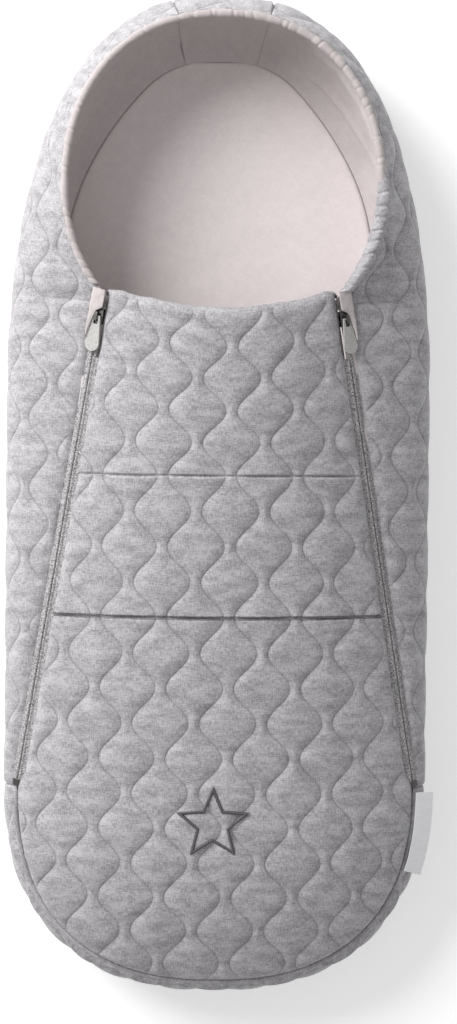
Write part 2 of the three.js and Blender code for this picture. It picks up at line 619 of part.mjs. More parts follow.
function buildTrims() {
  const last = runWhere((p, run) => wallPoint(run, 1).y > ZIP_TOP.y + ROLL_START);
  const bandEnd = last - ELASTIC.endMargin;
  const runs = spread(0, last, 14);
  const right = runs.map(rimPoint);
  const left = right.slice(1).reverse().map((p) => p.clone().setX(-p.x));
  add("hood_rim_roll", rope([...left, ...right], ROLL_RADIUS, 34), COLOURS.lining);

  const neck = spread(-1, 1, 12).map((share) => {
    const x = share * (ZIP_TOP.x - ZIP_OPEN_HALF - NECK_ROLL_RADIUS);
    const y = necklineY(x) + NECK_ROLL_RADIUS + NECK_ROLL_GAP;
    return new THREE.Vector3(x, y, coverZ(x, necklineY(x)) - WALL / 2);
  });
  add("neck_roll", rope(neck, NECK_ROLL_RADIUS, 20), COLOURS.lining);

  const besideRuns = hoodSideRuns.filter((run) => run < bandEnd);
  const bandRuns = [...besideRuns.map((run) => -run).reverse(), ...hoodRuns, ...besideRuns];
  const hood = (run, v) => acrossMiddle(run, v, 0);
  const rows = () => [ELASTIC.low, ELASTIC.high];
  const topFacet = PANEL_V.slice(-2);
  const bandBack = ELASTIC.depth + ELASTIC.thick;
  const band = layer(hood, bandRuns, topFacet, ELASTIC.depth, bandBack, -1, [0.5, 0.002], rows, 1);
  add("hood_elastic", band, COLOURS.label);

  add("side_label", sideLabel(), COLOURS.label);
  add("care_label", careLabel(), COLOURS.label);
  add("star_embroidery", starGeometry(), COLOURS.thread);
}

// A folded woven tab sewn into the seam below the right zip; it lies on the wall and stands out past it.
function sideLabel() {
  const from = footSeamRun + 4;
  const at = (run, w) => {
    const edge = wallPoint(run, 1);
    const out = edge.clone().sub(wallPoint(run, 0.98)).normalize();
    return edge.addScaledVector(out, (w - 1) * SIDE_LABEL.reach - 1);
  };
  const runs = spread(from, from + SIDE_LABEL.length, 5);
  return layer(at, runs, [0, 1], -LAYER_GAP - SIDE_LABEL.thick, -LAYER_GAP, -1, [0.5, 0.05]);
}

// The care label hangs inside, on the left wall lining.
function careLabel() {
  const middle = runWhere((p) => p[1] > CARE_LABEL.y);
  const at = (run, w) => {
    const level = lerp(0.42, 0.42 + CARE_LABEL.height / 160, w);
    return wallPoint(run, level).setX(-wallPoint(run, level).x);
  };
  const runs = spread(middle - CARE_LABEL.width / 2, middle + CARE_LABEL.width / 2, 2);
  const near = WALL + CARE_LABEL.stand;
  return layer(at, runs, [0, 0.5, 1], near, near + CARE_LABEL.thick, 1, [0.5, 0.02]);
}

function starPath(path, radius) {
  const points = 5;
  const parts = 3;
  const tip = (i) => {
    const angle = Math.PI / 2 + (i * Math.PI) / points;
    const r = i % 2 ? radius * STAR.inner : radius;
    return new THREE.Vector2(STAR.x + r * Math.cos(angle), STAR.y + r * Math.sin(angle));
  };
  const outline = [];
  for (let i = 0; i < 2 * points; i++)
    for (let j = 0; j < parts; j++) outline.push(tip(i).lerp(tip(i + 1), j / parts));
  path.setFromPoints(outline).closePath();
  return path;
}

function starGeometry() {
  const ring = starPath(new THREE.Shape(), STAR.radius);
  ring.holes.push(starPath(new THREE.Path(), STAR.radius - 2 * STAR.line));
  const flat = mergeVertices(flatSolid(ring, 0, STAR.thick));
  const position = flat.attributes.position;
  for (let i = 0; i < position.count; i++) {
    const ground = coverZ(position.getX(i), position.getY(i)) + 2 * LAYER_GAP;
    position.setZ(i, position.getZ(i) + ground);
  }
  return flat;
}

buildBase();
buildWalls();
buildCover();
buildZips();
buildTrims();
export default group;
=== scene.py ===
# Looks for the baby sleeping bag: quilted heather-grey jersey outside, warm beige jersey inside, two coil
# zips, and a camera almost straight above it. Shapes are worked out in millimetres and stored in metres.
import math

import bmesh
import bpy
import numpy as np
from mathutils import Matrix, Vector


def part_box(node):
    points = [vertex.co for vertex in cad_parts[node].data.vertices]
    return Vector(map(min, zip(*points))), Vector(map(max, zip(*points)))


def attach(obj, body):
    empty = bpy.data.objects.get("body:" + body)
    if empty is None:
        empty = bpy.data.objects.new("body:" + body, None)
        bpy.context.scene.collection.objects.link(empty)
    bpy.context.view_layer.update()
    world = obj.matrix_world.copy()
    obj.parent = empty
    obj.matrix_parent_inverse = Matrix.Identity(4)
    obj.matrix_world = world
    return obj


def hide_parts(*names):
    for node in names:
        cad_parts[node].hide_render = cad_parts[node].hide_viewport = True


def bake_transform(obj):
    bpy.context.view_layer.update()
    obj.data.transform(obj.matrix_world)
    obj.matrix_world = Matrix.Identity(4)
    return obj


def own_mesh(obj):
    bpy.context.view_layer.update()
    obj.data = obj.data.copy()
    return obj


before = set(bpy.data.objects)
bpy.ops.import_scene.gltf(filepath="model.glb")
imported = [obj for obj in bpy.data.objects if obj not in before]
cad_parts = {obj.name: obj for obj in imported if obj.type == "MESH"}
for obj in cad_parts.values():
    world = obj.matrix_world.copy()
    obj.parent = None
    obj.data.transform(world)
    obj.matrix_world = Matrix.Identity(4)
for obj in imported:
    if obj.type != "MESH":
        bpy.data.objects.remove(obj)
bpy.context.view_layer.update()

MM = 0.001


def corner(node, which):
    """A CAD node's lowest (0) or highest (1) corner, in millimetres."""
    return np.array(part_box(node)[which]) / MM


# ---- sizes, read off the frame or repeated from the part ----
HALF_WIDTH = corner("side_shell_right", 1)[0]
HOOD_END = corner("hood_shell", 1)[1]
FOOT_END = corner("foot_wall_shell", 0)[1]
RIM_HEIGHT = corner("hood_shell", 1)[2]
HOOD_CURVE_LENGTH = 335
FOOT_CURVE_LENGTH = 165
HOOD_ROUNDNESS = 2.45
FOOT_ROUNDNESS = 2.4
BULGE_HEIGHT = 44
BASE_TUCK = 26
RIM_SLOPE = 3
RIM_RISE_LENGTH = 110
ZIP_TOP = np.array([93.0, 157.0, 104.0])
ZIP_BOTTOM_Z = 64
FOOT_SEAM_INSET = 8
COVER_SLOPE = 0.56
NECKLINE_CORNER_Y = 158
NECKLINE_DIP = 15
OPENING = {"y": 240, "half_width": 125, "hood_depth": 137, "neck_depth": 123, "power": 2.2}
WALL = 12
UPPER_FOLD_Y = 19
MIDDLE_SEAM_Y = -92
LOWER_FOLD_Y = -190
HOOD_SEAM_X = 40
ZIP_GAP = 5.0  # centre of the chain to the rolled edge of the fabric
SLOTS = [(52, 112, 40), (-52, 112, 40), (84, -62, 34), (-84, -62, 34), (0, -96, 46)]
SLOT_WIDTH = 12
MATTRESS_TOP = 23.6

# ---- quilting ----
STITCH_PITCH = 26.4  # between neighbouring stitch lines
STITCH_WAVE = 9.0  # how far each line swings to either side
STITCH_REPEAT = 55.5  # length of one swing and back
PUFF = 2.2  # how far the fabric stands up between the stitches
PUFF_REACH = 13.0
STITCH_LENGTH = 2.6
SEAM_REACH = 0.7  # the groove mask of a sewn line, which carries its bump and its painted shade, reaches this far to either side
NECK_ROLL = 5.5  # radius that the neck edge is turned over

HOOD_CENTRE_Y = HOOD_END - HOOD_CURVE_LENGTH
FOOT_CENTRE_Y = FOOT_END + FOOT_CURVE_LENGTH
SEAM_A = HALF_WIDTH - FOOT_SEAM_INSET
SEAM_B = FOOT_CURVE_LENGTH - FOOT_SEAM_INSET
ZIP_BOTTOM = np.array([SEAM_A, FOOT_CENTRE_Y, ZIP_BOTTOM_Z])
ZIP_SPAN = ZIP_TOP[1] - ZIP_BOTTOM[1]


def smooth(t):
    c = np.clip(t, 0, 1)
    return c * c * (3 - 2 * c)


def lerp(a, b, t):
    return a + (b - a) * t


def positive_power(value, exponent):
    return np.maximum(0, value) ** exponent


# ---- smooth seeded noise ----
_lattice = np.random.default_rng(7).random((256, 256))


def value_noise(x, y, scale, seed=0):
    """Smooth noise from -1 to 1 whose bumps are about scale wide."""
    x = np.asarray(x, float) / scale + 17.3 * seed
    y = np.asarray(y, float) / scale + 5.7 * seed
    xi = np.floor(x).astype(int)
    yi = np.floor(y).astype(int)
    fx = smooth(x - xi)
    fy = smooth(y - yi)
    at = lambda dx, dy: _lattice[(xi + dx) % 256, (yi + dy) % 256]
    low = lerp(at(0, 0), at(1, 0), fx)
    high = lerp(at(0, 1), at(1, 1), fx)
    return 2 * lerp(low, high, fy) - 1


# ---- plan outline and the wall above it ----
def half_outline():
    t = np.linspace(0, math.pi / 2, 400)
    hood_x = HALF_WIDTH * np.sin(t) ** (2 / HOOD_ROUNDNESS)
    hood_y = HOOD_CENTRE_Y + HOOD_CURVE_LENGTH * np.cos(t) ** (2 / HOOD_ROUNDNESS)
    foot_x = HALF_WIDTH * np.cos(t) ** (2 / FOOT_ROUNDNESS)
    foot_y = FOOT_CENTRE_Y - FOOT_CURVE_LENGTH * np.sin(t) ** (2 / FOOT_ROUNDNESS)
    return np.stack([np.r_[hood_x, foot_x[1:]], np.r_[hood_y, foot_y[1:]]], 1)


OUTLINE = half_outline()
RUN = np.r_[0, np.cumsum(np.hypot(*np.diff(OUTLINE, axis=0).T))]
HALF_RUN = RUN[-1]


def outline_point(run):
    run = np.clip(run, 0, HALF_RUN)
    return np.stack([np.interp(run, RUN, OUTLINE[:, 0]), np.interp(run, RUN, OUTLINE[:, 1])], -1)


def inward(run):
    d = outline_point(run + 1.5) - outline_point(run - 1.5)
    d /= np.linalg.norm(d, axis=-1, keepdims=True)
    n = np.stack([d[..., 1], -d[..., 0]], -1)
    n[run < 2] = (0, -1)
    n[run > HALF_RUN - 2] = (0, 1)
    return n


def foot_level(x, y):
    across = positive_power(np.abs(x) / SEAM_A, FOOT_ROUNDNESS)
    return across + positive_power((FOOT_CENTRE_Y - y) / SEAM_B, FOOT_ROUNDNESS)


def hole_level(x, y):
    hood = y > OPENING["y"]
    depth = np.where(hood, OPENING["hood_depth"], OPENING["neck_depth"])
    power = np.where(hood, OPENING["power"], 2.0)
    across = positive_power(np.abs(x) / OPENING["half_width"], power)
    return across + positive_power(np.abs(y - OPENING["y"]) / depth, power)


def reach(level, p, n):
    low = np.zeros(len(p))
    high = np.full(len(p), HALF_WIDTH)
    for _ in range(40):
        mid = (low + high) / 2
        outside = level(p[:, 0] + n[:, 0] * mid, p[:, 1] + n[:, 1] * mid) > 1
        low = np.where(outside, mid, low)
        high = np.where(outside, high, mid)
    return (low + high) / 2


def zip_share(y):
    return (ZIP_TOP[1] - y) / ZIP_SPAN


def zip_x(y):
    return lerp(ZIP_TOP[0], ZIP_BOTTOM[0], zip_share(y))


def zip_z(y):
    return lerp(ZIP_TOP[2], ZIP_BOTTOM[2], zip_share(y))


def crown_power(y):
    return lerp(2, FOOT_ROUNDNESS, smooth(zip_share(y)))


def crown_rise(y):
    return COVER_SLOPE * zip_x(y) / crown_power(y)


def cover_z(x, y):
    """Height of the cover over the plan."""
    y_up = np.maximum(y, FOOT_CENTRE_Y)
    body = zip_z(y_up) + crown_rise(y_up) * (1 - positive_power(np.abs(x) / zip_x(y_up), crown_power(y_up)))
    foot = ZIP_BOTTOM_Z + crown_rise(FOOT_CENTRE_Y) * (1 - foot_level(x, y))
    return np.where(y < FOOT_CENTRE_Y, foot, body)


def neckline_y(x):
    return NECKLINE_CORNER_Y - NECKLINE_DIP * positive_power(1 - (x / ZIP_TOP[0]) ** 2, 1.5)


def wall_table():
    """Inset, height and arc length of the wall on a grid of runs and shares of its height."""
    runs = np.arange(0, HALF_RUN + 1, 1.0)
    p = outline_point(runs)
    n = inward(runs)
    lean = (ZIP_BOTTOM[0] - ZIP_TOP[0]) / ZIP_SPAN
    to_zip = (ZIP_TOP[0] + (ZIP_TOP[1] - p[:, 1]) * lean - p[:, 0]) / (n[:, 0] + lean * n[:, 1])
    zip_y = p[:, 1] + n[:, 1] * to_zip
    at_foot = p[:, 1] < FOOT_CENTRE_Y
    beside = at_foot | ((p[:, 1] < ZIP_TOP[1]) & (zip_y <= ZIP_TOP[1]))
    inset = np.where(at_foot, reach(foot_level, p, n), np.where(beside, to_zip, reach(hole_level, p, n)))
    edge_y = p[:, 1] + n[:, 1] * inset
    z_beside = np.where(at_foot, ZIP_BOTTOM_Z, zip_z(edge_y))
    inside = cover_z(p[:, 0] + n[:, 0] * (inset + 1), p[:, 1] + n[:, 1] * (inset + 1))
    share = smooth((edge_y - ZIP_TOP[1]) / RIM_RISE_LENGTH)
    z = np.where(beside, z_beside, lerp(ZIP_TOP[2], RIM_HEIGHT, share))
    slope = np.where(beside, inside - z_beside, lerp(COVER_SLOPE, RIM_SLOPE, share))
    tuck = np.linspace(0, math.pi / 2, 20)
    low_in = np.tile(BASE_TUCK * (1 - np.sin(tuck)), (len(runs), 1))
    low_z = np.tile(BULGE_HEIGHT * (1 - np.cos(tuck)), (len(runs), 1))
    t = np.linspace(0, 1, 50)[None, 1:]
    rise = (z - BULGE_HEIGHT)[:, None]
    back = np.minimum(0.55 * inset, 0.6 * (z - BULGE_HEIGHT) / slope)[:, None]
    w = [(1 - t) ** 3, 3 * t * (1 - t) ** 2, 3 * t * t * (1 - t), t ** 3]
    top = inset[:, None]
    up_in = w[2] * (top - back) + w[3] * top
    up_z = w[0] * BULGE_HEIGHT + w[1] * (BULGE_HEIGHT + 0.5 * rise)
    up_z = up_z + w[2] * (z[:, None] - back * slope[:, None]) + w[3] * z[:, None]
    insets = np.concatenate([low_in, up_in], 1)
    heights = np.concatenate([low_z, up_z], 1)
    steps = np.hypot(np.diff(insets, axis=1), np.diff(heights, axis=1))
    arcs = np.concatenate([np.zeros((len(runs), 1)), np.cumsum(steps, 1)], 1)
    return runs, insets, heights, arcs


TABLE_RUNS, TABLE_IN, TABLE_Z, TABLE_ARC = wall_table()


def wall_row(run):
    """The wall's section at a run: its insets, heights and arc lengths, from the base up."""
    i = min(int(abs(run)), len(TABLE_RUNS) - 2)
    t = abs(run) - i
    return [lerp(table[i], table[i + 1], t) for table in (TABLE_IN, TABLE_Z, TABLE_ARC)]


def wall_girth(run):
    return wall_row(run)[2][-1]


def wall_points(run, s, side=1):
    """Points of the outer wall at arc lengths s above the base seam; side -1 is the left of the bag."""
    insets, heights, arcs = wall_row(run)
    inset = np.interp(s, arcs, insets)
    slope = (insets[-1] - insets[-4]) / (arcs[-1] - arcs[-4])
    inset = inset + np.maximum(s - arcs[-1], 0) * slope
    z = np.interp(s, arcs, heights)
    z = z + np.maximum(s - arcs[-1], 0) * (heights[-1] - heights[-4]) / (arcs[-1] - arcs[-4])
    p = outline_point(np.array([abs(run)]))[0]
    n = inward(np.array([abs(run)]))[0]
    return np.stack([side * (p[0] + n[0] * inset), p[1] + n[1] * inset, z], -1)


# ---- meshes ----
def new_mesh(name, vertices, faces, materials, uvs=None, smooth_shading=True, face_material=None):
    mesh = bpy.data.meshes.new(name)
    mesh.from_pydata((np.asarray(vertices) * MM).tolist(), [], faces)
    mesh.update()
    if uvs is not None:
        layer = mesh.uv_layers.new(name="fabric")
        loops = np.zeros(len(mesh.loops), int)
        mesh.loops.foreach_get("vertex_index", loops)
        layer.data.foreach_set("uv", (np.asarray(uvs)[loops] * MM).ravel())
    for material in materials:
        mesh.materials.append(material)
    mesh.polygons.foreach_set("use_smooth", [smooth_shading] * len(mesh.polygons))
    if face_material is not None:
        mesh.polygons.foreach_set("material_index", face_material)
    obj = bpy.data.objects.new(name, mesh)
    bpy.context.scene.collection.objects.link(obj)
    return obj


def grid_faces(rows, cols, flip=False):
    i, j = np.meshgrid(np.arange(rows - 1), np.arange(cols - 1), indexing="ij")
    a = i * cols + j
    quads = np.stack([a, a + 1, a + cols + 1, a + cols], -1).reshape(-1, 4)
    return (quads[:, ::-1] if flip else quads).tolist()


def merge_close(obj, distance):
    bm = bmesh.new()
    bm.from_mesh(obj.data)
    bmesh.ops.remove_doubles(bm, verts=bm.verts, dist=distance * MM)
    bmesh.ops.dissolve_degenerate(bm, dist=0.01 * MM, edges=bm.edges)
    bm.to_mesh(obj.data)
    bm.free()


def set_attribute(obj, name, values):
    attribute = obj.data.attributes.new(name, "FLOAT", "POINT")
    attribute.data.foreach_set("value", np.asarray(values, np.float32))


def modify(obj, kind, **settings):
    """Adds one modifier and applies it."""
    modifier = obj.modifiers.new(kind, kind)
    for key, value in settings.items():
        setattr(modifier, key, value)
    graph = bpy.context.evaluated_depsgraph_get()
    mesh = bpy.data.meshes.new_from_object(obj.evaluated_get(graph))
    obj.modifiers.clear()
    obj.data = mesh


def tube(name, points, radii, material, sides=8, closed_ends=True):
    """A round tube through points, in millimetres, with a radius at each point."""
    points = np.asarray(points, float)
    radii = np.broadcast_to(radii, len(points))
    tangent = np.gradient(points, axis=0)
    tangent /= np.linalg.norm(tangent, axis=1, keepdims=True)
    reference = np.cross(tangent, [0, 0, 1.0])
    weak = np.linalg.norm(reference, axis=1) < 0.05
    reference[weak] = np.cross(tangent[weak], [1.0, 0, 0])
    reference /= np.linalg.norm(reference, axis=1, keepdims=True)
    other = np.cross(reference, tangent)
    a = np.linspace(0, 2 * math.pi, sides, endpoint=False)
    ring = reference[:, None] * np.cos(a)[None, :, None] + other[:, None] * np.sin(a)[None, :, None]
    vertices = points[:, None] + ring * radii[:, None, None]
    length = np.r_[0, np.cumsum(np.linalg.norm(np.diff(points, axis=0), axis=1))]
    uv = np.stack([np.broadcast_to(length[:, None], (len(points), sides)),
                   np.broadcast_to(a[None] * radii.mean(), (len(points), sides))], -1)
    faces = []
    rows = len(points)
    for i in range(rows - 1):
        for j in range(sides):
            k = (j + 1) % sides
            faces.append([i * sides + j, i * sides + k, (i + 1) * sides + k, (i + 1) * sides + j])
    if closed_ends:
        faces.append(list(range(sides))[::-1])
        faces.append([(rows - 1) * sides + j for j in range(sides)])
    return new_mesh(name, vertices.reshape(-1, 3), faces, [material], uv.reshape(-1, 2))


def joined(name, objects):
    """Joins meshes into one object."""
    bm = bmesh.new()
    materials = []
    for obj in objects:
        slots = []
        for material in obj.data.materials:
            if material not in materials:
                materials.append(material)
            slots.append(materials.index(material))
        start = len(bm.faces)
        bm.from_mesh(obj.data)
        bm.faces.ensure_lookup_table()
        for face in bm.faces[start:]:
            face.material_index = slots[face.material_index] if slots else 0
    mesh = bpy.data.meshes.new(name)
    bm.to_mesh(mesh)
    bm.free()
    for material in materials:
        mesh.materials.append(material)
    for obj in objects:
        bpy.data.objects.remove(obj)
    result = bpy.data.objects.new(name, mesh)
    bpy.context.scene.collection.objects.link(result)
    return result


# ---- materials ----
def new_material(name):
    material = bpy.data.materials.new(name)
    material.use_nodes = True
    tree = material.node_tree
    shader = next(n for n in tree.nodes if n.type == "BSDF_PRINCIPLED")
    return material, tree, shader


def node(tree, kind, **inputs):
    made = tree.nodes.new(kind)
    for key, value in inputs.items():
        if key in ("operation", "blend_type", "data_type", "noise_dimensions", "wave_type", "bands_direction",
                   "wave_profile", "feature", "attribute_name", "uv_map", "clamp", "interpolation_type"):
            setattr(made, key, value)
        else:
            name = key.replace("_", " ")
            made.inputs[int(key[1:]) if key[0] == "i" and key[1:].isdigit() else name].default_value = value
    return made


def wire(tree, source, target):
    tree.links.new(source, target)


def fabric_coordinates(tree, scale=(1, 1, 1)):
    """Fabric coordinates in millimetres, stretched by scale."""
    uv = node(tree, "ShaderNodeUVMap", uv_map="fabric")
    mapping = node(tree, "ShaderNodeMapping")
    mapping.inputs["Scale"].default_value = [1000 * s for s in scale]
    wire(tree, uv.outputs[0], mapping.inputs["Vector"])
    return mapping.outputs[0]


def noise_at(tree, coordinates, scale, detail=2.0, roughness=0.5, distortion=0.0):
    made = node(tree, "ShaderNodeTexNoise", Scale=scale, Detail=detail, Roughness=roughness,
                Distortion=distortion)
    wire(tree, coordinates, made.inputs["Vector"])
    return made.outputs["Fac"]


def ramp(tree, source, low, high, to_low=0.0, to_high=1.0):
    made = node(tree, "ShaderNodeMapRange", From_Min=low, From_Max=high, To_Min=to_low, To_Max=to_high)
    wire(tree, source, made.inputs["Value"])
    return made.outputs[0]


def math_node(tree, operation, a, b=0.0):
    made = node(tree, "ShaderNodeMath", operation=operation)
    for socket, value in zip(made.inputs, (a, b)):
        if isinstance(value, (int, float)):
            socket.default_value = value
        else:
            wire(tree, value, socket)
    return made.outputs[0]


def mix_colour(tree, factor, a, b, blend="MIX"):
    made = node(tree, "ShaderNodeMix", data_type="RGBA", blend_type=blend)
    for socket, value in ((made.inputs[0], factor), (made.inputs[6], a), (made.inputs[7], b)):
        if isinstance(value, (int, float)):
            socket.default_value = value
        elif isinstance(value, tuple):
            socket.default_value = (*value, 1)
        else:
            wire(tree, value, socket)
    return made.outputs[2]


def bump(tree, shader, heights):
    """Stacks bump maps on the shader: (height, strength, distance in mm)."""
    previous = None
    for height, strength, distance in heights:
        made = node(tree, "ShaderNodeBump", Strength=strength, Distance=distance * MM)
        wire(tree, height, made.inputs["Height"])
        if previous:
            wire(tree, previous, made.inputs["Normal"])
        previous = made.outputs[0]
    wire(tree, previous, shader.inputs["Normal"])


def times(tree, a, b):
    return math_node(tree, "MULTIPLY", a, b)


def plus(tree, a, b):
    return math_node(tree, "ADD", a, b)


def mottle(tree, tone, cloud, share):
    """Adds broad pale and dark clouds to a tone."""
    return plus(tree, tone, times(tree, math_node(tree, "SUBTRACT", cloud, 0.5), share))


def heather_jersey(name, light, dark):
    """Melange knit: pale and dark fibres in short crosswise streaks, with fine ribs and sewn grooves that are
    darkened with painted shade.
    """
    material, tree, shader = new_material(name)
    streaks = noise_at(tree, fabric_coordinates(tree, (0.22, 1.15, 1)), 1.0, 3.0, 0.65)
    slubs = noise_at(tree, fabric_coordinates(tree, (1.15, 0.24, 1)), 1.0, 2.0, 0.6)
    fleck = noise_at(tree, fabric_coordinates(tree, (0.9, 1.3, 1)), 1.0, 2.0, 0.6)
    cloud = noise_at(tree, fabric_coordinates(tree, (0.045, 0.12, 1)), 1.0, 3.0, 0.6)
    fibre = plus(tree, times(tree, streaks, 0.42), times(tree, fleck, 0.24))
    fibre = plus(tree, fibre, times(tree, slubs, 0.34))
    tone = mottle(tree, fibre, cloud, 0.35)
    colour = mix_colour(tree, ramp(tree, tone, 0.41, 0.59), dark, light)
    rib = node(tree, "ShaderNodeTexWave", wave_type="BANDS", bands_direction="X", Scale=0.32, Distortion=1.2,
               Detail=2.0)
    wire(tree, fabric_coordinates(tree, (1, 0.25, 1)), rib.inputs["Vector"])
    groove = node(tree, "ShaderNodeAttribute", attribute_name="groove").outputs["Fac"]
    along = node(tree, "ShaderNodeAttribute", attribute_name="along").outputs["Fac"]
    dash = math_node(tree, "SINE", times(tree, along, 2 * math.pi / STITCH_LENGTH))
    thread = times(tree, ramp(tree, groove, 0.7, 0.95), ramp(tree, dash, -0.5, 0.1))
    # painted shade: the colour is darkened along the sewn grooves, where shade falls in the recess
    colour = mix_colour(tree, times(tree, groove, 0.5), colour, tuple(0.5 * c for c in dark))
    colour = mix_colour(tree, times(tree, thread, 0.35), colour, tuple(0.9 * c for c in light))
    wire(tree, colour, shader.inputs["Base Color"])
    bump(tree, shader, [(rib.outputs["Fac"], 0.35, 0.12), (fleck, 0.6, 0.25), (groove, 0.5, -0.4)])
    soft_finish(shader, 0.25)
    return material


def soft_finish(shader, sheen):
    shader.inputs["Roughness"].default_value = 0.95
    shader.inputs["Specular IOR Level"].default_value = 0.15
    shader.inputs["Sheen Weight"].default_value = sheen
    shader.inputs["Sheen Roughness"].default_value = 0.5


def plain_jersey(name, colour, contrast=0.10, weave=0.5):
    """Soft fine jersey with a crossed weave, faint mottling and sewn grooves darkened with painted shade."""
    material, tree, shader = new_material(name)
    cloud = noise_at(tree, fabric_coordinates(tree, (0.12, 0.12, 1)), 1.0, 3.0, 0.6)
    slub_x = noise_at(tree, fabric_coordinates(tree, (0.25, 2.2, 1)), 1.0, 2.0, 0.6)
    slub_y = noise_at(tree, fabric_coordinates(tree, (2.2, 0.25, 1)), 1.0, 2.0, 0.6)
    weaving = plus(tree, times(tree, slub_x, 0.5), times(tree, slub_y, 0.5))
    tone = mottle(tree, weaving, cloud, 0.4)
    darker = tuple(c * (1 - contrast) for c in colour)
    lighter = tuple(min(1, c * (1 + contrast)) for c in colour)
    mottled = mix_colour(tree, ramp(tree, tone, 0.38, 0.62), darker, lighter)
    groove = node(tree, "ShaderNodeAttribute", attribute_name="groove").outputs["Fac"]
    # painted shade: the colour is darkened along the sewn grooves and seams
    groove_painted_shade = mix_colour(tree, times(tree, groove, 0.55), mottled, tuple(0.45 * c for c in colour))
    wire(tree, groove_painted_shade, shader.inputs["Base Color"])
    bump(tree, shader, [(weaving, weave, 0.18), (groove, 0.5, -0.3)])
    soft_finish(shader, 0.2)
    return material


def object_noise_material(name, colour, contrast, grain, roughness, metallic=0.0, bump_depth=0.05):
    """A finish with fine grain in object space, for small hard pieces."""
    material, tree, shader = new_material(name)
    place = node(tree, "ShaderNodeTexCoord").outputs["Object"]
    speck = noise_at(tree, place, 1000 / grain, 3.0, 0.6)
    darker = tuple(c * (1 - contrast) for c in colour)
    lighter = tuple(min(1, c * (1 + contrast)) for c in colour)
    wire(tree, mix_colour(tree, ramp(tree, speck, 0.35, 0.65), darker, lighter), shader.inputs["Base Color"])
    bump(tree, shader, [(speck, 0.4, bump_depth)])
    finish = ramp(tree, speck, 0.3, 0.7, roughness * 0.85, min(1, roughness * 1.1))
    wire(tree, finish, shader.inputs["Roughness"])
    shader.inputs["Metallic"].default_value = metallic
    return material


JERSEY = heather_jersey("heather_jersey", (0.515, 0.50, 0.52), (0.265, 0.254, 0.267))
LINING = plain_jersey("beige_lining_jersey", (0.60, 0.545, 0.545), 0.06)
ZIP_TAPE = object_noise_material("zip_tape", (0.34, 0.33, 0.335), 0.7, 1.15, 0.9, 0.0, 0.12)
METAL = object_noise_material("dark_nickel", (0.16, 0.15, 0.15), 0.15, 0.4, 0.35, 1.0, 0.01)
PULL_RUBBER = object_noise_material("pull_rubber", (0.43, 0.42, 0.408), 0.25, 0.9, 0.7, 0.0, 0.05)
# painted light: a brighter copy of the beige lining for the floor pad, standing in for light that the sunk
# floor does not get
PAD_LINING_PAINTED_LIGHT = plain_jersey("pad_lining_painted_light", (0.80, 0.735, 0.735), 0.05)
# painted shade: a darker copy of the beige lining for the rim piping and the garage flaps, which stand up
# into the key light
ROLLED_LINING_PAINTED_SHADE = plain_jersey("rolled_lining_painted_shade", (0.50, 0.452, 0.45), 0.10)
LABEL_TAPE = plain_jersey("white_woven_tape", (0.88, 0.88, 0.90), 0.04)
THREAD = object_noise_material("embroidery_thread", (0.10, 0.095, 0.10), 0.35, 0.25, 0.55, 0.0, 0.02)


# ---- quilting ----
def stitch_lines(t, first, last):
    k = np.arange(first, last + 1)
    swing = STITCH_WAVE * np.cos(2 * math.pi * t / STITCH_REPEAT)
    return k * STITCH_PITCH + np.where(k % 2, -swing, swing)


def quilt_at(x, t):
    """Puff height and distance to the nearest stitch, at x across the fabric, in the row at t along it."""
    first = int(math.floor(x.min() / STITCH_PITCH)) - 2
    last = int(math.ceil(x.max() / STITCH_PITCH)) + 2
    lines = stitch_lines(t, first, last)
    cell = np.clip(np.searchsorted(lines, x) - 1, 0, len(lines) - 2)
    swing = STITCH_WAVE * 2 * math.pi / STITCH_REPEAT * math.sin(2 * math.pi * t / STITCH_REPEAT)
    distance = np.minimum(x - lines[cell], lines[cell + 1] - x) / math.sqrt(1 + swing * swing)
    distance = np.maximum(distance, 0)
    q = np.clip(distance / PUFF_REACH, 0, 1)
    height = PUFF * (1 - (1 - q) ** 2.3) ** 0.95
    pucker = value_noise(x * 0.6, np.full_like(x, t), 5.0, 3) * np.exp(-distance / 5) * 0.35
    pucker = pucker * np.clip(distance / 1.5, 0, 1)
    drift = 0.35 * value_noise(x, np.full_like(x, t), 22, 5)
    return height + pucker + drift * np.clip(distance / 4, 0, 1), distance


def quilt_columns(low, high, t, per_cell):
    """Column positions of a row: clustered at the stitch lines, and clipped to the panel."""
    first = int(math.floor(low / STITCH_PITCH)) - 2
    last = int(math.ceil(high / STITCH_PITCH)) + 2
    lines = stitch_lines(t, first, last)
    share = 0.5 - 0.5 * np.cos(np.linspace(0, math.pi, per_cell, endpoint=False))
    columns = (lines[:-1, None] + np.diff(lines)[:, None] * share[None]).ravel()
    return columns


def edge_fall(distance, drop, radius):
    """How far a rolled fabric edge lies below the surface, at a distance from the edge."""
    q = np.clip(distance / radius, 0, 1)
    return -drop * (1 - np.sqrt(np.maximum(0, 1 - (1 - q) ** 2)))


def closeness(distance, reach=SEAM_REACH):
    """1 on a sewn line, fading to 0 at its reach."""
    return 1 - smooth(np.abs(distance) / reach)


def smooth_normals(grid):
    """Unit normals of a grid; points that coincide with a neighbour borrow the nearest good normal."""
    n = np.cross(np.gradient(grid, axis=1), np.gradient(grid, axis=0))
    size = np.linalg.norm(n, axis=-1)
    unit = n / np.maximum(size, 1e-9)[..., None]
    places = np.arange(grid.shape[1])
    for i in range(len(grid)):
        good = np.flatnonzero(size[i] > 1e-3)
        if len(good) == 0:
            unit[i] = unit[i - 1]
            continue
        after = good[np.clip(np.searchsorted(good, places), 0, len(good) - 1)]
        before = good[np.clip(np.searchsorted(good, places, side="right") - 1, 0, len(good) - 1)]
        unit[i] = unit[i][np.where(np.abs(before - places) <= np.abs(after - places), before, after)]
    return unit


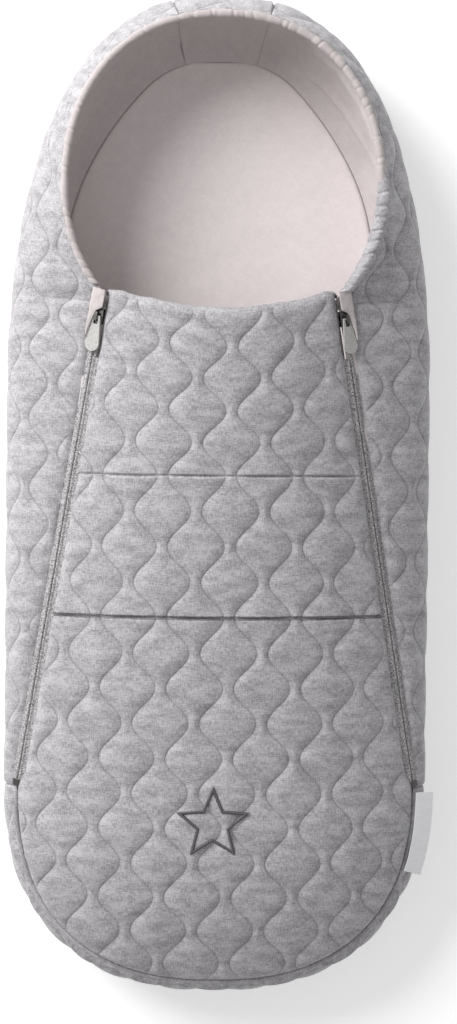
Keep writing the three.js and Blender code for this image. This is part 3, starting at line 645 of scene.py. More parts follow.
def sheet_object(name, grid, uvs, groove, material, flip=False):
    """A grid of points as a smooth fabric mesh, with its coincident points joined."""
    rows, cols = grid.shape[:2]
    faces = grid_faces(rows, cols, flip)
    obj = new_mesh(name, grid.reshape(-1, 3), faces, [material], uvs.reshape(-1, 2))
    set_attribute(obj, "groove", groove.ravel())
    set_attribute(obj, "along", uvs[..., 1].ravel())
    merge_close(obj, 0.03)
    return obj


def quilt_panel(name, rows, span, place, edges, per_cell=10, shift=0.0, flip=False):
    """A quilted sheet. rows are positions along the fabric, span(t) gives its two edges across it,
    place(x, t) the surface it lies on, and edges(x, t) its drop, share of puff and closeness to a seam."""
    ends = [span(t) for t in rows]
    low = min(end[0] for end in ends) + shift
    high = max(end[1] for end in ends) + shift
    grid, uvs, groove, lift = [], [], [], []
    for t, (first, last) in zip(rows, ends):
        x = np.clip(quilt_columns(low, high, t, per_cell) - shift, first, last)
        height, distance = quilt_at(x + shift, t)
        drop, share, seam = edges(x, t)
        grid.append(place(x, t))
        uvs.append(np.stack([x + shift, np.full_like(x, t)], 1))
        groove.append(np.maximum(closeness(distance) * np.clip(share * 2, 0, 1), seam))
        lift.append(drop + height * share)
    grid = np.array(grid)
    grid = grid + smooth_normals(grid) * np.array(lift)[..., None] * (-1 if flip else 1)
    return sheet_object(name, grid, np.array(uvs), np.array(groove), JERSEY, flip)


def smooth_panel(name, surface, material=LINING, flip=False):
    """A plain sheet. surface is (points, fabric coordinates, lift along the normal, closeness to a seam)."""
    grid, uvs, lift, groove = surface
    grid = grid + smooth_normals(grid) * lift[..., None] * (-1 if flip else 1)
    return sheet_object(name, grid, uvs, groove, material, flip)


def graded(start, end, step, fine=0.5, margin=4.0):
    """Positions from start to end, with fine steps near both ends."""
    inner = np.arange(start + margin, end - margin + step / 2, step)
    edge = np.arange(0, margin, fine)
    return np.r_[start + edge, inner, (end - edge)[::-1]]


def finish_piece(obj, nodes=(), ride=None, blend=None):
    """Hides the CAD nodes a piece replaces and parents it to the body it rides with; a piece given blend only
    has its transform baked into its mesh.
    """
    if nodes:
        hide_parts(*nodes)
    if blend:
        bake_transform(obj)
    else:
        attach(obj, ride)
    return obj


# ---- the cover ----
ARC_STEPS = 240
ZIP_LEAN = (ZIP_BOTTOM[0] - ZIP_TOP[0]) / ZIP_SPAN
PLAN_PER_SLANT = math.sqrt(1 + ZIP_LEAN ** 2) / math.sqrt(1 + COVER_SLOPE ** 2)
COVER_SHIFT = 5.4  # centres the pattern on the cover
NECK_T = MIDDLE_SEAM_Y - NECKLINE_CORNER_Y  # the cover's rows count from the middle seam towards the feet
FOLD_T = MIDDLE_SEAM_Y - UPPER_FOLD_Y
FOOT_T = MIDDLE_SEAM_Y - FOOT_END - FOOT_SEAM_INSET
TURN_LENGTH = 17  # fabric turned over the neck edge
FOOT_GAP = 0.4  # seam round the feet


def cover_half(y):
    """Plan distance from the middle of the cover to its side edge."""
    if y < FOOT_CENTRE_Y:
        left = 1 - min(1, (FOOT_CENTRE_Y - y) / SEAM_B) ** FOOT_ROUNDNESS
        return max(0.0, SEAM_A * max(0.0, left) ** (1 / FOOT_ROUNDNESS) - FOOT_GAP)
    gap = lerp(FOOT_GAP, ZIP_GAP * PLAN_PER_SLANT, smooth((y - FOOT_CENTRE_Y) / 14))
    return zip_x(y) - gap


def cover_arc(y):
    """Plan distances from the middle to the side edge at y, and the arc lengths there."""
    x = np.linspace(0, cover_half(y), ARC_STEPS)
    z = cover_z(x, np.full_like(x, y))
    return x, np.r_[0, np.cumsum(np.hypot(np.diff(x), np.diff(z)))]


def cover_y(t):
    return min(MIDDLE_SEAM_Y - t, NECKLINE_CORNER_Y)


def cover_span(t):
    far = cover_arc(cover_y(t))[1][-1]
    return -far, far


def cover_place(s, t):
    """The cover's surface; past the neck edge it turns over and goes back inside."""
    y = cover_y(t)
    plan, arc = cover_arc(y)
    x = np.sign(s) * np.interp(np.abs(s), arc, plan)
    dip = np.clip((y - UPPER_FOLD_Y) / (NECKLINE_CORNER_Y - UPPER_FOLD_Y), 0, 1)
    rows = y + (neckline_y(x) - NECKLINE_CORNER_Y) * dip
    z = cover_z(x, rows)
    turn = max(0.0, NECK_T - t) / NECK_ROLL
    rows = rows + NECK_ROLL * math.sin(turn)
    z = z - NECK_ROLL * (1 - math.cos(turn))
    return np.stack([x, rows, z], 1)


def cover_edge_distance(s, t):
    y = cover_y(t)
    to_side = cover_arc(y)[1][-1] - np.abs(s)
    if y >= FOOT_CENTRE_Y:
        return to_side
    x = cover_place(s, t)[:, 0]
    level = positive_power(foot_level(x, np.full_like(x, y)), 1 / FOOT_ROUNDNESS)
    outward = (1 - level) / np.maximum(level, 0.05) * np.hypot(x, y - FOOT_CENTRE_Y)
    return np.minimum(to_side, np.maximum(outward - FOOT_GAP, 0))


def gathers(x, t):
    """Small folds that the neck elastic draws, strongest near the zips."""
    strength = np.exp(-(np.maximum(0, t - NECK_T) / 16)) * (0.35 + smooth((np.abs(x) - 35) / 30))
    return strength * 1.1 * value_noise(x, np.full_like(x, t * 0.3), 6.5, 11)


def cover_edges(s, t):
    side = cover_edge_distance(s, t)
    drop = edge_fall(side, 3.2, 5.5)
    share = smooth(side / 7)
    seam = np.zeros_like(s)
    for line in (0.0, FOLD_T):
        wander = 0.5 * value_noise(s, np.full_like(s, line), 40, 9)
        off = np.abs(t - line + wander)
        drop = drop - 0.7 * np.maximum(0, 1 - off / 1.5) ** 2
        share = share * smooth(off / 2.2 + 0.1)
        seam = np.maximum(seam, 0.7 * closeness(off, 0.55))
    drop = drop + gathers(s, t)
    share = share * (1 - smooth((NECK_T - t) / 7)) * smooth((t - NECK_T + 4) / 8)
    return drop, share, seam


def cover_rows(first, last, step):
    """Rows of the cover, fine at its seams and round the toe of the foot end."""
    rows = list(np.arange(first, last, step))
    for line in (0.0, FOLD_T):
        if first <= line <= last:
            rows += list(line + np.linspace(-4, 4, 17))
    if last > FOOT_T - 1:
        rows = [t for t in rows if t < FOOT_T - 20]
        rows += list(FOOT_T - 20 * (1 - np.linspace(0, 1, 26)) ** 2.2)
        last = FOOT_T
    rows = sorted(t for t in {round(t, 3) for t in rows} if first <= t <= last)
    return [t for i, t in enumerate(rows) if i == 0 or t - rows[i - 1] > 0.02]


BLEND_APRON = ("bag", "apron", *(np.array([0, LOWER_FOLD_Y + d, 100]) * MM for d in (-30, 24)))
BLEND_LAPEL = ("apron", "lapel", *(np.array([0, UPPER_FOLD_Y + d, 120]) * MM for d in (-17, 17)))


def lining_grid(first, last, step, depth):
    """The cover's lining: its surface sunk by depth, climbing to the outer fabric at its side edges."""
    across = np.linspace(-1, 1, 61)
    grid, uvs, lift, groove = [], [], [], []
    for t in cover_rows(first, last, step):
        s = across * cover_span(t)[1]
        side = cover_edge_distance(s, t)
        grid.append(cover_place(s, t))
        uvs.append(np.stack([s, np.full_like(s, t)], 1))
        rise = edge_fall(side, depth - 3.5, 7)
        end = edge_fall(np.full_like(s, min(t - first, 60)), depth - 5, 7) if first < NECK_T + 30 else 0
        lift.append(-depth - np.minimum(rise, end) + 0.8 * value_noise(s, np.full_like(s, t), 28, 21))
        off = min(abs(t), abs(t - FOLD_T))
        groove.append(np.full_like(s, closeness(off)))
    return np.array(grid), np.array(uvs), np.array(lift), np.array(groove)


def build_cover():
    lower = quilt_panel("cover_lower", cover_rows(-2.2, FOOT_T, 2.0), cover_span, cover_place,
                        cover_edges, shift=COVER_SHIFT, flip=True)
    upper = quilt_panel("cover_upper", cover_rows(NECK_T - TURN_LENGTH, 1.6, 2.0), cover_span, cover_place,
                        cover_edges, shift=COVER_SHIFT, flip=True)
    finish_piece(lower, ["foot_cover_shell", "foot_cover_wadding"], blend=BLEND_APRON)
    finish_piece(upper, ["apron_shell", "apron_wadding", "lapel_shell", "lapel_wadding"],
                 blend=BLEND_LAPEL)
    depth = WALL - 1
    inner = smooth_panel("cover_lining_lower", lining_grid(-2.2, FOOT_T - 0.5, 4.0, depth), flip=True)
    outer = smooth_panel("cover_lining_upper", lining_grid(NECK_T + 1, 1.6, 4.0, depth), flip=True)
    finish_piece(inner, ["foot_cover_lining"], blend=BLEND_APRON)
    finish_piece(outer, ["apron_lining", "lapel_lining", "neck_roll"], blend=BLEND_LAPEL)


# ---- walls ----
def run_where(test):
    low, high = 0.0, HALF_RUN
    for _ in range(50):
        mid = (low + high) / 2
        low, high = (mid, high) if test(outline_point(np.array([mid]))[0]) else (low, mid)
    return low


HOOD_RUN = run_where(lambda p: p[0] < HOOD_SEAM_X)
FOOT_RUN = run_where(lambda p: p[1] > FOOT_CENTRE_Y)
FOOT_REACH = HALF_RUN - FOOT_RUN
RIM_HEM = 14  # the wadding ends this far below the rim


def wall_edge_y(run):
    return wall_points(run, np.array([wall_girth(run)]))[0, 1]


def beside_zip(run):
    """1 beside the zip, 0 round the hood."""
    return 1 - smooth((wall_edge_y(run) - ZIP_TOP[1] - 1) / 6)


def side_span(run):
    return 0.0, wall_girth(run) - ZIP_GAP * beside_zip(run) * smooth((FOOT_RUN - run) / 14)


def wall_edges(s, run, last, ends):
    """Drop, puff and seams near a wall panel's base, its top edge and its two end seams."""
    top = last - s
    hood = 1 - beside_zip(run) if run < FOOT_RUN else 0.0
    drop = edge_fall(top, lerp(3.2, 2.2, hood), 5.5)
    share = smooth(top / lerp(7, RIM_HEM, hood)) * smooth((s - 2) / 10)
    off = min(abs(run - end) for end in ends)
    drop = drop - 0.7 * max(0, 1 - off / 1.5) ** 2
    share = share * smooth(off / 2.2 + 0.1)
    return drop, share, np.full_like(s, 0.7 * closeness(off, 0.55))


def panel_rows(first, last, step):
    return graded(first, last, step, 0.5, 4.0)


def build_walls():
    for side, name in ((1, "right"), (-1, "left")):
        rows = panel_rows(HOOD_RUN, FOOT_RUN, 2.0)
        place = lambda s, run, side=side: wall_points(run, s, side)
        edges = lambda s, run: wall_edges(s, run, side_span(run)[1], (HOOD_RUN, FOOT_RUN))
        panel = quilt_panel("side_panel_" + name, rows, side_span, place, edges, 8, 7.0, flip=side < 0)
        finish_piece(panel, ["side_shell_" + name, "side_wadding_" + name], ride="bag")

    hood_rows = panel_rows(-HOOD_RUN, HOOD_RUN, 2.0)
    mirror = np.array([-1, 1, 1])
    hood_place = lambda s, run: wall_points(abs(run), s) * (mirror if run < 0 else 1)
    hood_edges = lambda s, run: wall_edges(s, abs(run), wall_girth(run), (HOOD_RUN,))
    hood_span = lambda run: (0.0, wall_girth(run))
    hood = quilt_panel("hood_panel", hood_rows, hood_span, hood_place, hood_edges, 8, 20.0)
    finish_piece(hood, ["hood_shell", "hood_wadding", "hood_elastic"], ride="bag")

    foot_rows = panel_rows(-FOOT_REACH, FOOT_REACH, 2.0)
    whole = lambda run: HALF_RUN - abs(run)
    foot_place = lambda s, run: wall_points(whole(run), s) * (mirror if run < 0 else 1)
    foot_edges = lambda s, run: wall_edges(s, whole(run), wall_girth(whole(run)), (FOOT_RUN,))
    foot_span = lambda run: (0.0, wall_girth(whole(run)) - FOOT_GAP)
    gusset = quilt_panel("foot_gusset", foot_rows, foot_span, foot_place, foot_edges, 8, 14.0, flip=True)
    finish_piece(gusset, ["foot_wall_shell", "foot_wall_wadding"], ride="bag")


# ---- lining of the walls: from the seam round the floor up to the rim or the zip ----
FLOOR_SEAM_INSET = {"side": 34, "hood": 46, "foot": 30}
TUNNEL_SEAM = 16  # stitched line below the rim that holds the elastic
LINING_STEPS = 46


def floor_inset(y):
    hood = smooth((y - 230) / 130)
    foot = smooth((-200 - y) / 120)
    inset = lerp(FLOOR_SEAM_INSET["side"], FLOOR_SEAM_INSET["hood"], hood)
    return lerp(inset, FLOOR_SEAM_INSET["foot"], foot)


def lining_section(run):
    """Insets and heights of the wall lining at a run, from the floor seam up to the top edge."""
    insets, heights, _ = wall_row(run)
    y = outline_point(np.array([abs(run)]))[0, 1]
    w = np.linspace(0, 1, LINING_STEPS)
    top = np.array([insets[-1] + 3.5, heights[-1] - 1.5])
    low = np.array([floor_inset(y), MATTRESS_TOP - 0.5])
    hood = smooth((y - 230) / 100)
    belly = np.array([lerp(10, 14, hood), lerp(30, 34, hood)])
    upper = np.array([min(insets[-1] - 2, lerp(14, insets[-1] + 4, hood)), lerp(heights[-1] - 26, 88, hood)])
    curve = [(1 - w) ** 3, 3 * w * (1 - w) ** 2, 3 * w * w * (1 - w), w ** 3]
    points = sum(c[:, None] * p[None] for c, p in zip(curve, (low, belly, upper, top)))
    return points[:, 0], points[:, 1]


def wall_lining_surface(runs, to_run, mirror_of):
    grid, uvs, lift, groove = [], [], [], []
    for r in runs:
        run = to_run(r)
        insets, heights = lining_section(run)
        p = outline_point(np.array([run]))[0]
        n = inward(np.array([run]))[0]
        points = np.stack([p[0] + n[0] * insets, p[1] + n[1] * insets, heights], 1)
        points[:, 0] *= mirror_of(r)
        length = np.r_[0, np.cumsum(np.linalg.norm(np.diff(points, axis=0), axis=1))]
        below_rim = length[-1] - length
        here = np.full_like(length, r)
        seed = 31 if mirror_of(r) > 0 else 37
        folds = 1.9 * value_noise(here, length * 0.5, 26, seed) + 0.5 * value_noise(here, length, 9, seed + 1)
        folds = folds + 1.3 * value_noise(here, length * 0.25, 8, seed + 2) * np.exp(-((below_rim / 22) ** 2))
        crease = 0.0
        for level, slant, width in ((34, 0.10, 2.2), (50, -0.07, 1.8), (66, 0.05, 2.0)):
            line = level + slant * (run - 260)
            crease = crease + 2.2 * np.exp(-(((length - line) / width) ** 2)) * smooth((run - 70) / 40)
        ends = smooth(length / 12) * smooth(below_rim / 12)
        tunnel = np.exp(-(((below_rim - TUNNEL_SEAM) / 1.6) ** 2)) * (1 - beside_zip(min(run, FOOT_RUN)))
        lift.append((folds + crease) * ends - 1.8 * tunnel)
        across = closeness(below_rim - TUNNEL_SEAM, 1.7) * (1 - beside_zip(min(run, FOOT_RUN)))
        upright = closeness(min(abs(run - HOOD_RUN), 9), 0.8) * np.ones_like(length)
        groove.append(np.maximum(across, upright))
        grid.append(points)
        uvs.append(np.stack([here, length], 1))
    return np.array(grid), np.array(uvs), np.array(lift), np.array(groove)


def build_lining():
    sides = {
        "right": (panel_rows(HOOD_RUN, FOOT_RUN, 4.0), lambda r: r, lambda r: 1),
        "left": (panel_rows(HOOD_RUN, FOOT_RUN, 4.0), lambda r: r, lambda r: -1),
    }
    for name, (runs, to_run, mirror_of) in sides.items():
        surface = wall_lining_surface(runs, to_run, mirror_of)
        panel = smooth_panel("side_wall_lining_" + name, surface, flip=name == "right")
        finish_piece(panel, ["side_lining_" + name], ride="bag")
    sign = lambda r: 1 if r >= 0 else -1
    hood = wall_lining_surface(panel_rows(-HOOD_RUN, HOOD_RUN, 3.0), abs, sign)
    hood = smooth_panel("hood_wall_lining", hood, flip=True)
    finish_piece(hood, ["hood_lining"], ride="bag")
    foot = wall_lining_surface(panel_rows(-FOOT_REACH, FOOT_REACH, 4.0), lambda r: HALF_RUN - abs(r), sign)
    foot = smooth_panel("foot_end_lining", foot)
    finish_piece(foot, ["foot_wall_lining"], ride="bag")


# ---- floor: padded mattress lining above, outer fabric below, with the harness slots ----
FLOOR_CROWN = 3.0
BINDING_WIDTH = 4.0
BACK_LIFT = 0.4


def inset_outline(inset_at):
    """Right half of the outline moved inwards, as x over falling y."""
    runs = np.arange(0, HALF_RUN + 0.5, 1.0)
    p = outline_point(runs)
    n = inward(runs)
    inset = np.array([inset_at(y) for y in p[:, 1]])[:, None]
    return p + n * inset


def in_slot(x, y, grow=0.0):
    inside = np.zeros(np.shape(x), bool)
    for centre_x, centre_y, long in SLOTS:
        reach_x = (long - SLOT_WIDTH) / 2
        off = np.hypot(np.maximum(np.abs(x - centre_x) - reach_x, 0), y - centre_y)
        inside |= off < SLOT_WIDTH / 2 + grow
    return inside


def flat_sheet(name, border, height, material, step, flip):
    """A level sheet inside a border, without the faces over the harness slots."""
    top, bottom = border[0, 1], border[-1, 1]
    rows = top - graded(0, top - bottom, step, 0.4, 6.0)
    across = np.linspace(-1, 1, int(2 * HALF_WIDTH / step))
    grid, uvs = [], []
    for y in rows:
        half = np.interp(y, border[::-1, 1], np.maximum(border[::-1, 0], 0))
        x = across * half
        grid.append(np.stack([x, np.full_like(x, y), height(x, y, half)], 1))
        uvs.append(np.stack([x, np.full_like(x, -y)], 1))
    grid = np.array(grid)
    obj = sheet_object(name, grid, np.array(uvs), np.zeros(grid.shape[:2]), material, flip)
    bm = bmesh.new()
    bm.from_mesh(obj.data)
    centres = np.array([face.calc_center_median() for face in bm.faces]) / MM
    gone = [face for face, hit in zip(bm.faces, in_slot(centres[:, 0], centres[:, 1], 0.6)) if hit]
    bmesh.ops.delete(bm, geom=gone, context="FACES")
    bm.to_mesh(obj.data)
    bm.free()
    return obj


def floor_height(x, y, half):
    """The mattress under its lining: crowned, soft, and rolled down to the seam round it."""
    to_side = half - np.abs(x)
    ends = min(abs(y - FLOOR_BORDER[0, 1]), abs(y - FLOOR_BORDER[-1, 1]))
    off = np.minimum(to_side, ends * 1.6)
    row = np.full_like(x, y)
    dimple = value_noise(x, row, 60, 41) + 0.25 * value_noise(x, row, 17, 43)
    crown = FLOOR_CROWN * smooth(off / 60)
    binding = np.zeros_like(x)
    for centre_x, centre_y, long in SLOTS:
        away = np.hypot(np.maximum(np.abs(x - centre_x) - (long - SLOT_WIDTH) / 2, 0), y - centre_y)
        binding = np.minimum(binding, -2.2 * (1 - smooth((away - SLOT_WIDTH / 2) / 12)))
    return MATTRESS_TOP + crown + dimple * smooth(off / 20) + edge_fall(off, 2.5, 6) + binding


def slot_loop(centre_x, centre_y, long, grow):
    """Points round a slot, grown outwards."""
    r = SLOT_WIDTH / 2 + grow
    reach_x = (long - SLOT_WIDTH) / 2
    a = np.linspace(-math.pi / 2, math.pi / 2, 13)
    right = np.stack([centre_x + reach_x + r * np.cos(a), centre_y + r * np.sin(a)], 1)
    left = np.stack([centre_x - reach_x - r * np.cos(a), centre_y - r * np.sin(a)], 1)
    return np.r_[right, left]


def slot_binding(name, centre_x, centre_y, long):
    """Rolled binding round a slot, on both faces of the base, with the fabric wall between them."""
    profile = []
    for a in np.linspace(0, math.pi, 9):
        profile.append((BINDING_WIDTH / 2 + BINDING_WIDTH / 2 * math.cos(a), 23.4 + 1.4 * math.sin(a)))
    for z in np.linspace(22, 2.2, 6):
        profile.append((0.3, z))
    for a in np.linspace(0, math.pi, 7):
        profile.append((BINDING_WIDTH / 2 - BINDING_WIDTH / 2 * math.cos(a), 1.6 - 1.1 * math.sin(a)))
    loops = [slot_loop(centre_x, centre_y, long, grow) for grow, _ in profile]
    count = len(loops[0])
    grid = np.array([np.c_[loop, np.full(count, z)] for loop, (_, z) in zip(loops, profile)])
    grid = np.concatenate([grid, grid[:, :1]], 1)
    length = np.r_[0, np.cumsum(np.linalg.norm(np.diff(grid[0], axis=0), axis=1))]
    down = np.r_[0, np.cumsum(np.linalg.norm(np.diff(grid[:, 0], axis=0), axis=1))]
    uvs = np.stack(np.broadcast_arrays(length[None], down[:, None]), -1)
    groove = np.zeros(grid.shape[:2])
    groove[[2, 7]] = 0.8
    return sheet_object(name, grid, uvs, groove, LINING)


FLOOR_BORDER = inset_outline(lambda y: floor_inset(y) - 0.5)
BACK_BORDER = inset_outline(lambda y: BASE_TUCK - 1.0)


def build_foot_seam():
    """Turned seam edges that fill the joint between the cover and the foot end."""
    points = []
    runs = np.arange(FOOT_RUN + 3, HALF_RUN, 2.0)
    for side, runs in ((1, runs), (-1, runs[::-1])):
        for run in runs:
            insets, heights, _ = wall_row(run)
            p = outline_point(np.array([run]))[0] + inward(np.array([run]))[0] * insets[-1]
            points.append([side * p[0], p[1], heights[-1] - 3.4])
    seam = tube("foot_seam_roll", np.array(points), 2.1, JERSEY, 10)
    finish_piece(seam, ride="bag")


def build_base():
    floor = flat_sheet("floor_pad", FLOOR_BORDER, floor_height, PAD_LINING_PAINTED_LIGHT, 3.0, flip=True)
    finish_piece(floor, ["floor_lining", "mattress_pad"], ride="bag")
    level = lambda x, y, half: np.full_like(x, BACK_LIFT) + 0.5 * smooth(1 - (half - np.abs(x)) / 4)
    back = flat_sheet("back_fabric", BACK_BORDER, level, JERSEY, 4.0, flip=False)
    finish_piece(back, ["back_panel"], ride="bag")
    names = ["shoulder_right", "shoulder_left", "waist_right", "waist_left", "crotch"]
    for name, slot in zip(names, SLOTS):
        binding = slot_binding("slot_edge_" + name, *slot)
        finish_piece(binding, ["slot_binding_" + name], ride="bag")


# ---- rims ----
PIPING = 3.3
COLLAR = 6.6
COLLAR_FROM_Y = 262  # the outer fabric rolls over the rim from here to the neck, on the right
PIPING_END_Y = 166


def rim_path(from_run, to_run, side, step=0.8):
    """Points along the middle of the hood wall's top edge, with unit vectors up and out of it."""
    points, ups, outs = [], [], []
    for run in np.arange(from_run, to_run, step):
        insets, heights, _ = wall_row(run)
        p = outline_point(np.array([run]))[0]
        n = inward(np.array([run]))[0]
        tangent = np.array([insets[-1] - insets[-5], heights[-1] - heights[-5]])
        tangent /= np.linalg.norm(tangent)
        points.append([side * (p[0] + n[0] * insets[-1]), p[1] + n[1] * insets[-1], heights[-1]])
        ups.append([side * n[0] * tangent[0], n[1] * tangent[0], tangent[1]])
        outs.append([-side * n[0] * tangent[1], -n[1] * tangent[1], tangent[0]])
    return np.array(points), np.array(ups), np.array(outs)


def rolled_edge(name, path, radius, flatten, material, seed, sides=14):
    """A padded roll along a path of (centre, sideways, up) with soft gathers."""
    centre, sideways, up = path
    length = np.r_[0, np.cumsum(np.linalg.norm(np.diff(centre, axis=0), axis=1))]
    a = np.linspace(0, 2 * math.pi, sides + 1)
    r = np.broadcast_to(radius, len(centre))[:, None]
    long, round_it = np.broadcast_arrays(length[:, None], a[None])
    pinch = 1 + 0.07 * value_noise(long, seed + round_it * 0.8, 7.0, seed)
    rng = np.random.default_rng(seed)
    gathers = np.arange(4, length[-1], 9.0)
    for place in gathers + rng.uniform(-4, 4, len(gathers)):
        lean = place + rng.uniform(-1.2, 1.2) * np.cos(a)[None]
        depth = rng.uniform(0.05, 0.24)
        pinch = pinch - depth * np.exp(-((length[:, None] - lean) / rng.uniform(0.7, 1.6)) ** 2)
    offset = sideways[:, None] * np.cos(a)[None, :, None] + up[:, None] * (np.sin(a) * flatten)[None, :, None]
    grid = centre[:, None] + offset * (r * pinch)[..., None]
    grid[0] = centre[0] + (grid[0] - centre[0]) * 0.3
    grid[-1] = centre[-1] + (grid[-1] - centre[-1]) * 0.3
    uvs = np.stack(np.broadcast_arrays(a[None] * np.mean(radius), length[:, None]), -1)
    return sheet_object(name, grid, uvs, np.zeros(grid.shape[:2]), material)


def build_rims():
    end = run_where(lambda p: wall_edge_y(RUN[np.argmin(np.hypot(*(OUTLINE - p).T))]) > PIPING_END_Y)
    left = [part[::-1] for part in rim_path(0, end, -1)]
    start = run_where(lambda p: wall_edge_y(RUN[np.argmin(np.hypot(*(OUTLINE - p).T))]) > COLLAR_FROM_Y)
    right = rim_path(0.8, start + 16, 1)
    points, ups, outs = (np.concatenate(pair) for pair in zip(left, right))
    away = -outs
    swell = 1 + 0.12 * value_noise(np.arange(len(points)), np.zeros(len(points)), 14, 71)
    path = (points + away * 2.6 + ups * 0.8, outs, ups)
    piping = rolled_edge("rim_piping", path, PIPING * swell, 1.0, ROLLED_LINING_PAINTED_SHADE, 5)
    finish_piece(piping, ["hood_rim_roll"], ride="bag")

    points, ups, outs = rim_path(start, end + 4, 1)
    share = smooth(np.linspace(0, 3.0, len(points)))
    radius = lerp(2.2, COLLAR, share)
    path = (points - outs * (2.2 - 1.6 * share)[:, None] + ups * 1.0, outs, ups)
    collar = rolled_edge("rim_collar", path, radius, 0.8, JERSEY, 9, 18)
    finish_piece(collar, ride="bag")


# ---- zips ----
ZIP_LENGTH = float(np.linalg.norm(ZIP_TOP - ZIP_BOTTOM))
ZIP_ALONG = (ZIP_TOP - ZIP_BOTTOM) / ZIP_LENGTH
ZIP_ACROSS = np.array([1, ZIP_LEAN, -COVER_SLOPE * math.sqrt(1 + ZIP_LEAN ** 2)])
ZIP_ACROSS = ZIP_ACROSS - ZIP_ALONG * (ZIP_ACROSS @ ZIP_ALONG)
ZIP_ACROSS /= np.linalg.norm(ZIP_ACROSS)
ZIP_UP = np.cross(ZIP_ACROSS, ZIP_ALONG)
COIL_PITCH = 1.5
PULL_SPACE = 47  # the cover's half of the zip starts below the hanging pull


def zip_point(across, down, up, side):
    """A point beside the zip: across its chain (outwards), down from its neck end and up off the fabric."""
    p = ZIP_TOP + ZIP_ACROSS * np.asarray(across)[..., None] - ZIP_ALONG * np.asarray(down)[..., None]
    p = p + ZIP_UP * np.asarray(up)[..., None]
    return p * np.array([side, 1, 1])


def zip_strip(name, side, half, first, last, clear_until=0):
    """One half of a zip: woven tape that runs in under the fabric, and its row of coil ridges."""
    down = np.arange(first, last, 0.375)
    across = np.array([0.25, 0.5, 1.1, 1.7, 2.3, 2.7, 3.4, 4.6, 6.2, 7.4])
    up = np.array([-2.2, -1.25, -0.85, -0.85, -1.2, -1.9, -2.1, -2.1, -2.6, -3.4])
    coil = np.clip((2.6 - across) / 1.2, 0, 1)
    ridge = 0.28 * np.sin(2 * math.pi * down / COIL_PITCH)[:, None] * coil[None]
    weave = 0.12 * np.sin(2 * math.pi * down / 0.75)[:, None] * (across > 2.6)[None]
    wide = np.maximum(across[None], np.where(down < clear_until, 4.95, 0)[:, None])
    grid = zip_point(wide * half, down[:, None] + 0 * across[None], up[None] + ridge + weave, side)
    uvs = np.stack(np.broadcast_arrays(across[None] * half, down[:, None]), -1)
    return sheet_object(name, grid, uvs, np.zeros(grid.shape[:2]), ZIP_TAPE, flip=(side * half) < 0)


def down_at(y):
    return (ZIP_TOP[1] - y) / ZIP_SPAN * ZIP_LENGTH


def build_zips():
    middle = down_at(MIDDLE_SEAM_Y)
    for side, name in ((1, "right"), (-1, "left")):
        body = zip_strip("zip_tape_body_" + name, side, 1, 0, ZIP_LENGTH - 1)
        finish_piece(body, ["zip_side_" + name], ride="bag")
        upper = zip_strip("zip_tape_upper_" + name, side, -1, 3, middle, PULL_SPACE)
        finish_piece(upper, ["zip_lapel_" + name], blend=BLEND_LAPEL)
        lower = zip_strip("zip_tape_lower_" + name, side, -1, middle, ZIP_LENGTH - 1)
        finish_piece(lower, ["zip_apron_" + name, "zip_foot_" + name], blend=BLEND_APRON)


# ---- sliders, pulls, stops and garages ----
def refined(node_name, name, material, bevel, segments=3):
    """A finely rounded copy of a hard CAD piece."""
    source = bpy.data.objects[node_name] if node_name in bpy.data.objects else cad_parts[node_name]
    obj = bpy.data.objects.new(name, source.data.copy())
    bpy.context.scene.collection.objects.link(obj)
    obj.data.materials.clear()
    obj.data.materials.append(material)
    merge_close(obj, 0.01)
    modify(obj, "BEVEL", width=bevel * MM, segments=segments, limit_method="ANGLE",
           angle_limit=math.radians(28))
    obj.data.polygons.foreach_set("use_smooth", [True] * len(obj.data.polygons))
    modify(obj, "WEIGHTED_NORMAL", keep_sharp=False)
    return obj


def garage_flap(name, side):
    """Folded tab of lining that closes over the neck end of a zip and leaves the slider's loop free."""
    outer = [(7.0, 6), (8.6, 1), (9.0, -6), (8.6, -14), (7.8, -22), (6.9, -30), (6.4, -34)]
    inner = [(-4.4, 5), (-4.7, -1), (-4.7, -8.5), (0.9, -11.8), (3.0, -19), (4.9, -27), (6.1, -33.5)]
    v = np.linspace(0, 1, 31)
    knots = np.linspace(0, 1, len(outer))
    edge = lambda points, k: np.interp(v, knots, [p[k] for p in points])
    w = np.linspace(0, 1, 13)
    grid, uvs = [], []
    for thick, shares in ((0, w), (0.9, w[::-1])):
        for share in shares:
            across = lerp(edge(outer, 0), edge(inner, 0), share)
            down = -lerp(edge(outer, 1), edge(inner, 1), share)
            arch = 0.9 + 3.5 * smooth((9.3 - across) / 3.0) + 0.5 * np.sin(math.pi * share)
            arch = arch + 0.35 * value_noise(across * 1.6, down, 6, 61) - thick
            grid.append(zip_point(across, down, arch, side))
            uvs.append(np.stack([across, down], 1))
    grid = np.array(grid).transpose(1, 0, 2)
    uvs = np.array(uvs).transpose(1, 0, 2)
    obj = sheet_object(name, grid, uvs, np.zeros(grid.shape[:2]), ROLLED_LINING_PAINTED_SHADE, flip=side > 0)
    modify(obj, "SUBSURF", levels=1)
    return obj


def build_hardware():
    for name, side in (("right", 1), ("left", -1)):
        slider = refined("slider_" + name, "slider_body_" + name, METAL, 0.35)
        finish_piece(slider, ["slider_" + name], ride="slider_" + name)
        pull = refined("pull_" + name, "pull_tab_" + name, PULL_RUBBER, 0.5, 4)
        finish_piece(pull, ["pull_" + name], ride="pull_" + name)
        for kind in ("top_stop", "bottom_stop"):
            stop = refined(f"{kind}_{name}", f"{kind}_clip_{name}", METAL, 0.3)
            finish_piece(stop, [f"{kind}_{name}"], ride="bag")
        flap = garage_flap("garage_flap_" + name, side)
        finish_piece(flap, ["zip_garage_" + name], ride="bag")
        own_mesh(flap)


